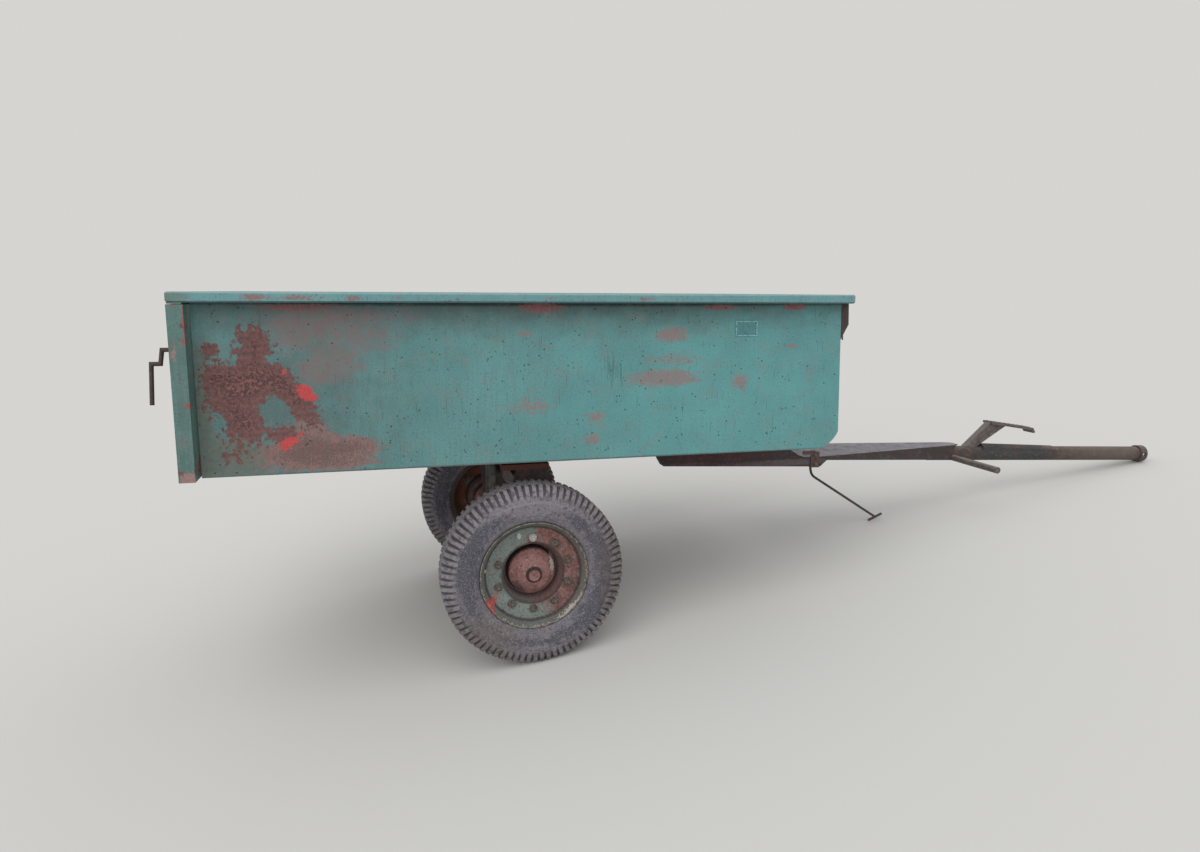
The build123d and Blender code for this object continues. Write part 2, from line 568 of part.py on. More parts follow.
# Prop leg: hooked rod on a cross pin between the rails, its foot bar just above the ground
web_y = RAIL_Y - RAIL_GAUGE
parts["prop_pin"] = rod((PROP_PIN_X, -web_y, PROP_PIN_Z), (PROP_PIN_X, web_y, PROP_PIN_Z), PROP_PIN_D / 2)
rod_r = PROP_ROD_D / 2
bore_r = PROP_PIN_D / 2 + RUNNING_CLEARANCE
eye_r = bore_r + PROP_EYE_WALL
eye = rod((PROP_PIN_X, -PROP_EYE_HALF, PROP_PIN_Z), (PROP_PIN_X, PROP_EYE_HALF, PROP_PIN_Z), eye_r)
bore = rod((PROP_PIN_X, -eye_r, PROP_PIN_Z), (PROP_PIN_X, eye_r, PROP_PIN_Z), bore_r)
foot_x = PROP_PIN_X + PROP_FOOT_X
heel_x = foot_x - PROP_FOOT_LENGTH / 2
heel_z = ground_z(heel_x) + rod_r / math.cos(math.radians(PARK)) + GROUND_GAP
foot_z = heel_z + PROP_FOOT_TILT / 2
hook = (PROP_PIN_X + PROP_HOOK_X, 0, PROP_PIN_Z - PROP_HOOK_DROP)
knee = (PROP_PIN_X + PROP_KNEE_X, 0, PROP_PIN_Z - PROP_KNEE_DROP)
root = Vector(PROP_PIN_X, 0, PROP_PIN_Z) + Vector(PROP_HOOK_X, 0, -PROP_HOOK_DROP).normalized() * (eye_r - 1)
leg = bent_rod([tuple(root), hook, knee, (foot_x, 0, foot_z)], rod_r, (PROP_HOOK_R, PROP_KNEE_R))
foot_bar = rod((heel_x, 0, heel_z), (heel_x + PROP_FOOT_LENGTH, 0, heel_z + PROP_FOOT_TILT), rod_r)
parts["prop_leg"] = eye + leg + foot_bar - bore


# Bed: floor sheet bent up into the leaning front wall, side panels with the bent front corner
def tub_edges(inset):
    """The bent sheet's side line, moved inwards by the inset, from the rear to the top."""
    start = Vector(FRONT_FOOT_X - CORNER_CUT_X, 0, FLOOR_Z + inset)
    end = Vector(FRONT_FOOT_X - inset, 0, FRONT_FOOT_Z)
    outward = Vector(CORNER_CUT_Z, 0, -CORNER_CUT_X).normalized()
    chord_middle = Vector(FRONT_FOOT_X - CORNER_CUT_X / 2, 0, FLOOR_Z + CORNER_CUT_Z / 2)
    middle = chord_middle + outward * (CORNER_BULGE - inset)
    floor_line = Line((BED_REAR_X, 0, FLOOR_Z + inset), start)
    wall_line = Line(end, (BED_FRONT_X - inset, 0, RAIL_BOTTOM_Z))
    return floor_line, ThreePointArc(start, middle, end), wall_line


def closed_prism(edges, y0, y1):
    """A side outline of edges in the plane of Y = 0, carried across from y0 to y1."""
    return Pos(0, y0, 0) * extrude(make_face(Wire(edges)), amount=y1 - y0, dir=(0, 1, 0))


inner_half = BED_HALF_WIDTH - SHEET
outer, inner = tub_edges(0), tub_edges(SHEET)
tub_ends = (Line(outer[0] @ 0, inner[0] @ 0), Line(outer[2] @ 1, inner[2] @ 1))
parts["bed_tub"] = closed_prism([*outer, *inner, *tub_ends], -inner_half, inner_half)
rear_top = (BED_REAR_X, 0, RAIL_BOTTOM_Z)
panel_edges = [*outer, Line(outer[2] @ 1, rear_top), Line(rear_top, outer[0] @ 0)]
gusset = [(front_wall_x(RAIL_BOTTOM_Z), RAIL_BOTTOM_Z), (BED_FRONT_X + GUSSET_REACH, RAIL_BOTTOM_Z)]
gusset += [(BED_FRONT_X + GUSSET_REACH + GUSSET_FLARE, RAIL_BOTTOM_Z - GUSSET_LIP)]
gusset += [(front_wall_x(RAIL_BOTTOM_Z - GUSSET_DROP), RAIL_BOTTOM_Z - GUSSET_DROP)]
for name, side in SIDES:
    parts[f"side_panel_{name}"] = mirrored(closed_prism(panel_edges, inner_half, BED_HALF_WIDTH), side)
    corner = side_prism(gusset, BED_HALF_WIDTH - GUSSET_GAUGE, BED_HALF_WIDTH)
    parts[f"corner_gusset_{name}"] = mirrored(corner, side)

# Rim: hollow rail all round, rounded at its two front corners, its outer edges broken
rim_length = RIM_FRONT_X - GATE_REAR_X


def rim_plan(reach, corner_r):
    """Plan of the rim's outer outline, drawn in by the given reach."""
    front_x, rear_x, side_y = RIM_FRONT_X - reach, GATE_REAR_X + reach, RAIL_OUT_Y - reach
    face = Pos((front_x + rear_x) / 2, 0, 0) * Rectangle(front_x - rear_x, 2 * side_y)
    corners = face.vertices().group_by(Axis.X)[-1]
    return fillet(corners, corner_r) if corner_r else face


inside_front_x = BED_FRONT_X - SHEET
inside_rear_x = BED_REAR_X + SHEET
opening = Rectangle(inside_front_x - inside_rear_x, 2 * inner_half)
opening = Pos((inside_front_x + inside_rear_x) / 2, 0, 0) * opening
wider = Rectangle(inside_front_x - inside_rear_x + 2 * RAIL_WALL, 2 * (inner_half + RAIL_WALL))
wider = Pos((inside_front_x + inside_rear_x) / 2, 0, 0) * wider
slab = extrude(Pos(0, 0, RAIL_BOTTOM_Z) * rim_plan(0, RAIL_CORNER_R), RAIL_HEIGHT)
outer_edges = slab.edges().filter_by_position(Axis.Z, RAIL_BOTTOM_Z, RIM_TOP_Z).filter_by(
    lambda edge: abs(edge.position_at(0).Z - edge.position_at(1).Z) < SEAT_GAP)
cutter = extrude(Pos(0, 0, RAIL_BOTTOM_Z - FACE_LAP) * opening, RAIL_HEIGHT + 2 * FACE_LAP)
shell = chamfer(outer_edges, RAIL_EDGE) - cutter
void_plan = rim_plan(RAIL_WALL, RAIL_CORNER_R - RAIL_WALL) - wider
void = extrude(Pos(0, 0, RAIL_BOTTOM_Z + RAIL_WALL) * void_plan, RAIL_HEIGHT - 2 * RAIL_WALL)
parts["top_rail"] = shell - void


# Bearers under the floor: two long channels with four cross channels between them
def channel_section(width, depth, wall):
    """Channel section open downwards, as (across, up) points about its top centre."""
    w, d, t = width / 2, depth, wall
    return [(-w, 0), (w, 0), (w, -d), (w - t, -d), (w - t, -t), (-w + t, -t), (-w + t, -d), (-w, -d)]


section = channel_section(BEARER_WIDTH, BEARER_DEPTH, BEARER_WALL)
bearer_rear_x = BED_REAR_X + BEARER_REAR_SETBACK
bearer_front_x = FRONT_FOOT_X - CORNER_CUT_X - BEARER_FRONT_SETBACK
long_wire = Polyline(*[(bearer_rear_x, LONG_BEARER_Y + a, FLOOR_Z + u) for a, u in section], close=True)
long_bearer = extrude(make_face(long_wire), amount=bearer_front_x - bearer_rear_x, dir=(1, 0, 0))
for name, side in SIDES:
    parts[f"long_bearer_{name}"] = mirrored(long_bearer, side)

half_span = LONG_BEARER_Y - BEARER_WIDTH / 2
cross = [
    side_prism([(x + a, FLOOR_Z + u) for a, u in section], -half_span, half_span)
    for x in CROSS_BEARER_X]
parts["cross_bearers"] = cross[0] + cross[1:]

# Tipping hinge brackets: angle under the long bearer with a lug that tapers to the pivot pin
angle_z = BEARER_BOTTOM_Z
skirt_z = angle_z - BRACKET_SKIRT
lug_outline = [(LUG_TOP_REAR_X, skirt_z + FACE_LAP), (LUG_TOP_FRONT_X, skirt_z + FACE_LAP)]
lug_outline += [(LUG_HALF, PIVOT_Z), (-LUG_HALF, PIVOT_Z)]
boss_r = PIVOT_D / 2 + PIVOT_BOSS
for name, side in SIDES:
    leg_in_y = LONG_BEARER_Y - BEARER_WIDTH / 2
    leg = block(-BRACKET_HALF, BRACKET_HALF, leg_in_y, LUG_OUT_Y, angle_z - BRACKET_GAUGE, angle_z)
    skirt = block(-BRACKET_HALF, BRACKET_HALF, LUG_IN_Y, LUG_OUT_Y, skirt_z, angle_z)
    lug = side_prism(lug_outline, LUG_IN_Y, LUG_OUT_Y)
    boss = rod((0, LUG_IN_Y, PIVOT_Z), (0, LUG_OUT_Y, PIVOT_Z), boss_r)
    hole = rod((0, LUG_IN_Y - 1, PIVOT_Z), (0, LUG_OUT_Y + 1, PIVOT_Z), PIVOT_D / 2 + RUNNING_CLEARANCE)
    parts[f"tip_bracket_{name}"] = mirrored(leg + skirt + lug + boss - hole, side)

plate_x = (PLATE_CENTRE_X - PLATE_WIDTH / 2, PLATE_CENTRE_X + PLATE_WIDTH / 2)
plate_z = (PLATE_CENTRE_Z - PLATE_HEIGHT / 2, PLATE_CENTRE_Z + PLATE_HEIGHT / 2)
parts["blank_plate"] = block(*plate_x, -BED_HALF_WIDTH - PLATE_GAUGE, -BED_HALF_WIDTH, *plate_z)

# Tailgate: pan with folded edges, two ribs, hinges and latch handles
pan = block(GATE_REAR_X, GATE_FRONT_X, -RAIL_OUT_Y, RAIL_OUT_Y, FLOOR_Z, GATE_TOP_Z)
pocket_half = RAIL_OUT_Y - SHEET
pan_face_x = GATE_FRONT_X - SHEET
pocket = block(GATE_REAR_X - 1, pan_face_x, -pocket_half, pocket_half, FLOOR_Z + SHEET, GATE_TOP_Z - SHEET)
parts["tailgate_pan"] = pan - pocket

rib_half, hinge_half = GATE_RIB_WIDTH / 2, GATE_HINGE_WIDTH / 2
barrel_top = GATE_TOP_Z - HINGE_STRAP_GAUGE
ear_x = AXIS_X - HINGE_BARREL_R
ear_line = [(ear_x, AXIS_Z), (ear_x, RIM_TOP_Z - EAR_TOP_SETBACK), (GATE_REAR_X, RIM_TOP_Z - EAR_TOP_SETBACK)]
ear_line += [(GATE_REAR_X, AXIS_Z)]
ear_edges = [Line((a[0], 0, a[1]), (b[0], 0, b[1])) for a, b in zip(ear_line, ear_line[1:])]
ear_low = (AXIS_X, 0, AXIS_Z - HINGE_BARREL_R)
ear_edges += [ThreePointArc((GATE_REAR_X, 0, AXIS_Z), ear_low, (ear_x, 0, AXIS_Z))]
grip_x = GATE_REAR_X - HANDLE_OUT
grip_z = HANDLE_TOP_Z - HANDLE_CRANK_DROP
grip = [(pan_face_x, HANDLE_Y, HANDLE_TOP_Z), (grip_x, HANDLE_Y, HANDLE_TOP_Z)]
grip += [(grip_x - HANDLE_RAKE, HANDLE_Y, grip_z), (grip_x - HANDLE_RAKE - HANDLE_CRANK, HANDLE_Y, grip_z)]
grip += [(grip_x - 2 * HANDLE_RAKE - HANDLE_CRANK, HANDLE_Y, grip_z - HANDLE_GRIP)]
for name, side in SIDES:
    y0, y1 = GATE_RIB_Y - rib_half, GATE_RIB_Y + rib_half
    rib = block(GATE_REAR_X, pan_face_x, y0, y1, FLOOR_Z + SHEET, GATE_TOP_Z - SHEET)
    rib = rib - block(GATE_REAR_X + SHEET, GATE_FRONT_X, y0 + SHEET, y1 - SHEET, FLOOR_Z, GATE_TOP_Z)
    parts[f"gate_rib_{name}"] = mirrored(rib, side)

    y0, y1 = GATE_RIB_Y - hinge_half, GATE_RIB_Y + hinge_half
    strap_low_z = GATE_TOP_Z - HINGE_STRAP_LENGTH
    strap_plate = block(GATE_REAR_X - HINGE_STRAP_GAUGE, GATE_REAR_X, y0, y1, strap_low_z, barrel_top)
    barrel = rod((AXIS_X, y0, AXIS_Z), (AXIS_X, y1, AXIS_Z), HINGE_BARREL_R)
    web = block(AXIS_X, GATE_REAR_X, y0, y1, GATE_TOP_Z - HINGE_WEB, barrel_top)
    pin_bore = rod((AXIS_X, 0, AXIS_Z), (AXIS_X, BED_HALF_WIDTH, AXIS_Z), HINGE_PIN_D / 2 + RUNNING_CLEARANCE)
    parts[f"gate_hinge_{name}"] = mirrored(strap_plate + barrel + web - pin_bore, side)

    ears = [closed_prism(ear_edges, y, y + EAR_GAUGE) for y in (y0 - EAR_GAP - EAR_GAUGE, y1 + EAR_GAP)]
    pin = rod((AXIS_X, y0 - EAR_GAP, AXIS_Z), (AXIS_X, y1 + EAR_GAP, AXIS_Z), HINGE_PIN_D / 2)
    parts[f"hinge_ears_{name}"] = mirrored(ears[0] + ears[1] + pin, side)

    parts[f"gate_handle_{name}"] = mirrored(bent_rod(grip, HANDLE_D / 2), side)

# The finished trailer, tilted as it parks and centred on its own length
parked = {name: Pos(0, 0, WHEEL_R) * Rot(0, PARK, 0) * shape for name, shape in parts.items()}
low = min(s.bounding_box().min.X for s in parked.values())
high = max(s.bounding_box().max.X for s in parked.values())
CENTRE_X = (low + high) / 2

os.makedirs("parts", exist_ok=True)
for name, shape in parked.items():
    export_step(Pos(-CENTRE_X, 0, 0) * shape, f"parts/{name}.step")
print(f"parked {PARK:.3f} degrees nose down, origin {CENTRE_X:.1f} mm ahead of the axle, {len(parts)} nodes")
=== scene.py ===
"""Looks of a small steel tipper trailer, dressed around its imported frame.

Sizes are in millimetres in the trailer's own level frame, as a maker would write them: X runs
forward from the axle towards the drawbar's tip, Y to the left side, Z up from the axle's
centre.  The trailer parks nose down, and LevelFrame turns those places into the frame's own.
"""
from __future__ import annotations

import json
import logging
import math
from dataclasses import dataclass, replace
from enum import Enum
from typing import Any, Sequence

import bmesh
import bpy
from mathutils import Matrix, Vector

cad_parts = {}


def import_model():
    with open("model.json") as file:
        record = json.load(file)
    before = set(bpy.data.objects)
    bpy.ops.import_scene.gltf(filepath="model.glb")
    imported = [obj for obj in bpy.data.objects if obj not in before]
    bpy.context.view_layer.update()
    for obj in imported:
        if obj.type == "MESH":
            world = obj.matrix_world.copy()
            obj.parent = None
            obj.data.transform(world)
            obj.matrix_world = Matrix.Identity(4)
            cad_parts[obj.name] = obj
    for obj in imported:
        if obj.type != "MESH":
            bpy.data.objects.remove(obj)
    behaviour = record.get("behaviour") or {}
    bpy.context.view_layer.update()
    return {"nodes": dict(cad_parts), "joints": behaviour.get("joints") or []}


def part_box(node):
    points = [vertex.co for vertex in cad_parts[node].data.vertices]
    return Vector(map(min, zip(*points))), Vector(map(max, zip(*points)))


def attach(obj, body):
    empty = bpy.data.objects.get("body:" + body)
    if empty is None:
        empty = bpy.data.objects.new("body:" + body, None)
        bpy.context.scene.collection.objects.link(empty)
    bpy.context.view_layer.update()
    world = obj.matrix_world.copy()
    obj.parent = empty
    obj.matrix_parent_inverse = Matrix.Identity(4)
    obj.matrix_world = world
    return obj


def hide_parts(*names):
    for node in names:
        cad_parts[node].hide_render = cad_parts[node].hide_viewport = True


LOG = logging.getLogger("trailer")
MM = 0.001
PHOTO_WIDTH = 1200.0
SENSOR_WIDTH = 36.0

Point = tuple[float, float, float]
Profile = Sequence[tuple[float, float]]
Socket = bpy.types.NodeSocket

# What every finish's patterns share. A range says between which values of its noise a colour changes.
NOISE_ROUGHNESS = 0.6
CLOUD_RANGE = (0.35, 0.65)
ROUGHNESS_SWING = 0.08
TINT_GRAIN = 0.6
TINT_RANGE = (0.38, 0.62)
SCATTER_SWING = 0.3
PLACE_REACH = 1.4
PLACE_EDGE = 0.06
# Dust on faces that look up, which also carries painted top light.
DUST_CLOUD = 35.0
DUST_PATCHINESS = 0.9
DUST_AND_TOP_LIGHT_RANGE = (0.95, 1.5)
PIT_CLOUD = 2.2
PIT_RANGE = (0.48, 0.62)
PIT_REACH = 0.26
PIT_SOFTNESS = 0.05
PIT_COVER = 0.85
PIT_DEPTH = 0.4


class Side(Enum):
    """A side of the trailer, with the sign of its Y."""

    LEFT = 1
    RIGHT = -1

    @property
    def word(self) -> str:
        """The side's name in node names."""
        return self.name.lower()


class Facing(Enum):
    """The way that a fastener's head looks, as the turn that brings +Y there."""

    LEFT = Matrix.Identity(4)
    RIGHT = Matrix.Rotation(math.pi, 4, "Z")

    @classmethod
    def out(cls, hand: int) -> "Facing":
        """The way out from the side whose Y has this sign."""
        return cls.LEFT if hand > 0 else cls.RIGHT


def linear(hex_colour: str) -> tuple[float, float, float, float]:
    """Turn an sRGB hex colour into Blender's linear colour.

    Args:
        hex_colour: six hex digits, such as "4a7d70".

    Returns:
        Red, green, blue and an opacity of 1.
    """
    channels = [int(hex_colour[i:i + 2], 16) / 255 for i in (0, 2, 4)]
    red, green, blue = [c / 12.92 if c <= 0.04045 else ((c + 0.055) / 1.055) ** 2.4 for c in channels]
    return red, green, blue, 1.0


def add(tree: bpy.types.NodeTree, kind: str, inputs: dict[Any, Any] | None = None,
        **settings: Any) -> bpy.types.Node:
    """Add a node with its settings, and fill or link its inputs.

    Args:
        tree: the tree that gets the node.
        kind: the node's type.
        inputs: socket name or number to a value, or to the output that feeds it.
        settings: the node's own properties.

    Returns:
        The new node.
    """
    node = tree.nodes.new(kind)
    for name, value in settings.items():
        setattr(node, name, value)
    for key, value in (inputs or {}).items():
        if isinstance(value, bpy.types.NodeSocket):
            tree.links.new(value, node.inputs[key])
        else:
            node.inputs[key].default_value = value
    return node


class LevelFrame:
    """The trailer's level frame, found from its axle and its tipping pivot."""

    def __init__(self, joints: list[dict]) -> None:
        """Find the axle and the parking angle.

        Args:
            joints: the frame's joints.
        """
        low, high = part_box("hub_right")
        axle = Vector(((low.x + high.x) / 2, 0, (low.z + high.z) / 2))
        places = {joint["name"]: Vector(joint["pos_m"]) for joint in joints}
        lean = places["bed_tip"] - axle
        self.park = math.atan2(lean.x, lean.z)
        self.matrix = Matrix.Translation(axle) @ Matrix.Rotation(self.park, 4, "Y")
        self.back = self.matrix.inverted()
        self.gate_pin = self.back @ places["tailgate_swing"] / MM


@dataclass
class PhotoCamera:
    """The camera that took the photograph, in the level frame, in metres and radians."""

    place: Point = (-0.4477, -2.9794, 0.8685)
    yaw: float = 0.2638
    pitch: float = 0.1602
    roll: float = 0.0054
    focal_pixels: float = 827.2

    def build(self, level: LevelFrame) -> None:
        """Make the scene's camera.

        Args:
            level: the trailer's level frame.
        """
        ahead = Vector((math.sin(self.yaw) * math.cos(self.pitch),
                        math.cos(self.yaw) * math.cos(self.pitch), -math.sin(self.pitch)))
        right = Vector((math.cos(self.yaw), -math.sin(self.yaw), 0))
        up = right.cross(ahead)
        rolled_right = math.cos(self.roll) * right + math.sin(self.roll) * up
        rolled_up = -math.sin(self.roll) * right + math.cos(self.roll) * up
        turn = Matrix((rolled_right, rolled_up, -ahead)).transposed().to_4x4()
        data = bpy.data.cameras.new("photo_camera")
        data.sensor_width = SENSOR_WIDTH
        data.lens = self.focal_pixels / PHOTO_WIDTH * SENSOR_WIDTH
        camera = bpy.data.objects.new("photo_camera", data)
        camera.matrix_world = level.matrix @ Matrix.Translation(self.place) @ turn
        bpy.context.scene.collection.objects.link(camera)
        bpy.context.scene.camera = camera


@dataclass
class Studio:
    """A pale floor that meets a pale backdrop, under one wide soft lamp and an even sky."""

    floor_colour: str = "cfcecb"
    floor_radius: float = 60.0
    floor_steps: int = 64
    sky: float = 0.82
    sun: float = 1.05
    sun_tilt: tuple[float, float] = (38.0, -18.0)
    sun_spread: float = 70.0

    def build(self) -> None:
        """Make the floor, the lamp and the sky."""
        scene = bpy.context.scene
        scene.view_settings.view_transform = "Standard"
        self._floor()
        lamp = bpy.data.lights.new("soft_lamp", "SUN")
        lamp.energy = self.sun
        lamp.angle = math.radians(self.sun_spread)
        holder = bpy.data.objects.new("soft_lamp", lamp)
        holder.rotation_euler = [math.radians(angle) for angle in (*self.sun_tilt, 0.0)]
        scene.collection.objects.link(holder)
        self._sky(math.cos(math.radians(self.sun_tilt[0])) * math.cos(math.radians(self.sun_tilt[1])))

    def _floor(self) -> None:
        """Make the round floor."""
        mesh = bpy.data.meshes.new("floor")
        turns = [2 * math.pi * step / self.floor_steps for step in range(self.floor_steps)]
        rim = [(self.floor_radius * math.cos(a), self.floor_radius * math.sin(a), 0.0) for a in turns]
        mesh.from_pydata(rim, [], [tuple(range(self.floor_steps))])
        material = bpy.data.materials.new("matt_painted_floor")
        material.use_nodes = True
        shader = material.node_tree.nodes["Principled BSDF"]
        shader.inputs["Base Color"].default_value = linear(self.floor_colour)
        shader.inputs["Roughness"].default_value = 1.0
        shader.inputs["Specular IOR Level"].default_value = 0.0
        mesh.materials.append(material)
        floor = bpy.data.objects.new("floor", mesh)
        bpy.context.scene.collection.objects.link(floor)

    def _sky(self, lamp_height: float) -> None:
        """Light the object evenly, and show the far floor's own colour behind it.

        Args:
            lamp_height: sine of the lamp's height above the floor.
        """
        world = bpy.data.worlds.new("soft_sky")
        bpy.context.scene.world = world
        world.use_nodes = True
        tree = world.node_tree
        tree.nodes.clear()
        light = add(tree, "ShaderNodeBackground", {"Color": (1, 1, 1, 1), "Strength": self.sky})
        level = self.sky + self.sun * lamp_height / math.pi
        backdrop = add(tree, "ShaderNodeBackground", {"Color": linear(self.floor_colour), "Strength": level})
        path = add(tree, "ShaderNodeLightPath").outputs
        seen = add(tree, "ShaderNodeMath", {0: path["Is Camera Ray"], 1: path["Is Glossy Ray"]},
                   operation="MAXIMUM")
        clear = add(tree, "ShaderNodeMath", {0: seen.outputs[0], 1: path["Is Transmission Ray"]},
                    operation="MAXIMUM")
        mix = add(tree, "ShaderNodeMixShader", {0: clear.outputs[0], 1: light.outputs[0],
                                                2: backdrop.outputs[0]})
        add(tree, "ShaderNodeOutputWorld", {"Surface": mix.outputs[0]})


@dataclass(frozen=True)
class Patch:
    """A place where a stain lies, by its centre and half sizes along X and Z, with how strong it is.

    It goes right through the trailer along Y, unless it is given a middle and a half size there.
    """

    x: float
    z: float
    half_x: float
    half_z: float
    strength: float = 1.0
    turn: float = 0.0
    y: float = 0.0
    half_y: float = 1e7

    def on(self, y: float, half_y: float = 1.5) -> "Patch":
        """The same place on one face alone, such as the outer face of a sheet."""
        return replace(self, y=y, half_y=half_y)


@dataclass(frozen=True)
class Ring:
    """A band round the axle line where a stain lies, by its middle radius and half width."""

    radius: float
    half: float
    strength: float = 1.0


@dataclass(frozen=True)
class Stain:
    """Something that lies on or shows through a finish: rust, primer, dust, dirt or a fade, and in places
    painted light and shade.

    Where it has places, it keeps to them with ragged edges; where it has none, it is scattered.
    """

    colour: str
    second: str
    places: tuple[Patch | Ring, ...] = ()
    grain: float = 14.0
    cover: float = 0.35
    ragged: float = 0.9
    soft: float = 0.12
    amount: float = 1.0
    roughness: float = 0.85
    stretch: float = 1.0
    raised: float = 0.0
    edge: float = 0.28

    def at(self, *places: Patch | Ring, **changes: Any) -> "Stain":
        """The same stain on these places, with a few of its values changed."""
        return replace(self, places=places, **changes)


class Weave:
    """Lays one finish's patterns with nodes, in the trailer's level frame."""

    def __init__(self, tree: bpy.types.NodeTree, level: LevelFrame) -> None:
        """Find the level place of the shaded point.

        Args:
            tree: the material's tree.
            level: the trailer's level frame.
        """
        self.tree = tree
        seen = add(tree, "ShaderNodeTexCoord").outputs["Object"]
        self.place = add(tree, "ShaderNodeMapping", {
            "Vector": seen, "Location": level.back.translation, "Rotation": (0, -level.park, 0)}).outputs[0]

    def calc(self, operation: str, *terms: Socket | float) -> Socket:
        """Do one step of arithmetic."""
        return add(self.tree, "ShaderNodeMath", dict(enumerate(terms)), operation=operation).outputs[0]

    def ramp(self, value: Socket, low: float, high: float, start: float = 0.0, end: float = 1.0) -> Socket:
        """Run from start to end while a value runs from low to high."""
        given = dict(enumerate((value, low, high, start, end)))
        return add(self.tree, "ShaderNodeMapRange", given).outputs[0]

    def blend(self, mask: Socket, under: Any, over: Any) -> Socket:
        """Lay one colour over another as far as a mask says."""
        return add(self.tree, "ShaderNodeMix", {0: mask, 6: under, 7: over}, data_type="RGBA").outputs[2]

    def noise(self, size: float, detail: float, place: Socket | None = None) -> Socket:
        """Lay a cloudy pattern whose clouds are about one size in millimetres."""
        return add(self.tree, "ShaderNodeTexNoise", {
            "Vector": place or self.place, "Scale": 1 / (size * MM), "Detail": detail,
            "Roughness": NOISE_ROUGHNESS}).outputs["Fac"]

    def mask(self, stain: Stain) -> Socket:
        """Work out where a stain lies.

        Args:
            stain: the stain.

        Returns:
            The stain's mask, from 0 to its amount.
        """
        run = self.place
        if stain.stretch != 1.0:
            run = add(self.tree, "ShaderNodeVectorMath", {0: run, 1: (1, 1, 1 / stain.stretch)},
                      operation="MULTIPLY").outputs[0]
        noise = self.noise(stain.grain, 4.0, run)
        if not stain.places:
            edge = 0.5 + (0.5 - stain.cover) * SCATTER_SWING
            return self.ramp(noise, edge - stain.soft / 2, edge + stain.soft / 2, 0.0, stain.amount)
        field = None
        for spot in stain.places:
            near = self._nearness(spot)
            if spot.strength != 1.0:
                near = self.calc("MULTIPLY", near, spot.strength)
            field = near if field is None else self.calc("ADD", field, near)
        uneven = self.calc("MULTIPLY_ADD", noise, stain.ragged, -0.5 * stain.ragged)
        kept = self.ramp(self.calc("ADD", uneven, field), stain.edge - stain.soft,
                         stain.edge + stain.soft, 0.0, stain.amount)
        return self.calc("MULTIPLY", kept, self.ramp(field, 0.0, PLACE_EDGE))

    def _nearness(self, spot: Patch | Ring) -> Socket:
        """Fall from 1 in the middle of a stain's place to 0 a little outside its edge.

        Args:
            spot: the stain's place.

        Returns:
            The nearness.
        """
        reach = PLACE_REACH * MM
        if isinstance(spot, Ring):
            flat = add(self.tree, "ShaderNodeVectorMath", {0: self.place, 1: (1, 0, 1)},
                       operation="MULTIPLY").outputs[0]
            away = add(self.tree, "ShaderNodeVectorMath", {0: flat}, operation="LENGTH").outputs["Value"]
            off = self.calc("ABSOLUTE", self.calc("SUBTRACT", away, spot.radius * MM))
            return self.ramp(off, 0.0, spot.half * reach, 1.0, 0.0)
        fitted = add(self.tree, "ShaderNodeMapping", {
            "Vector": self.place, "Location": (spot.x * MM, spot.y * MM, spot.z * MM),
            "Rotation": (0, math.radians(spot.turn), 0),
            "Scale": (spot.half_x * reach, spot.half_y * reach, spot.half_z * reach)},
                     vector_type="TEXTURE").outputs[0]
        return add(self.tree, "ShaderNodeTexGradient", {0: fitted}, gradient_type="SPHERICAL").outputs["Fac"]


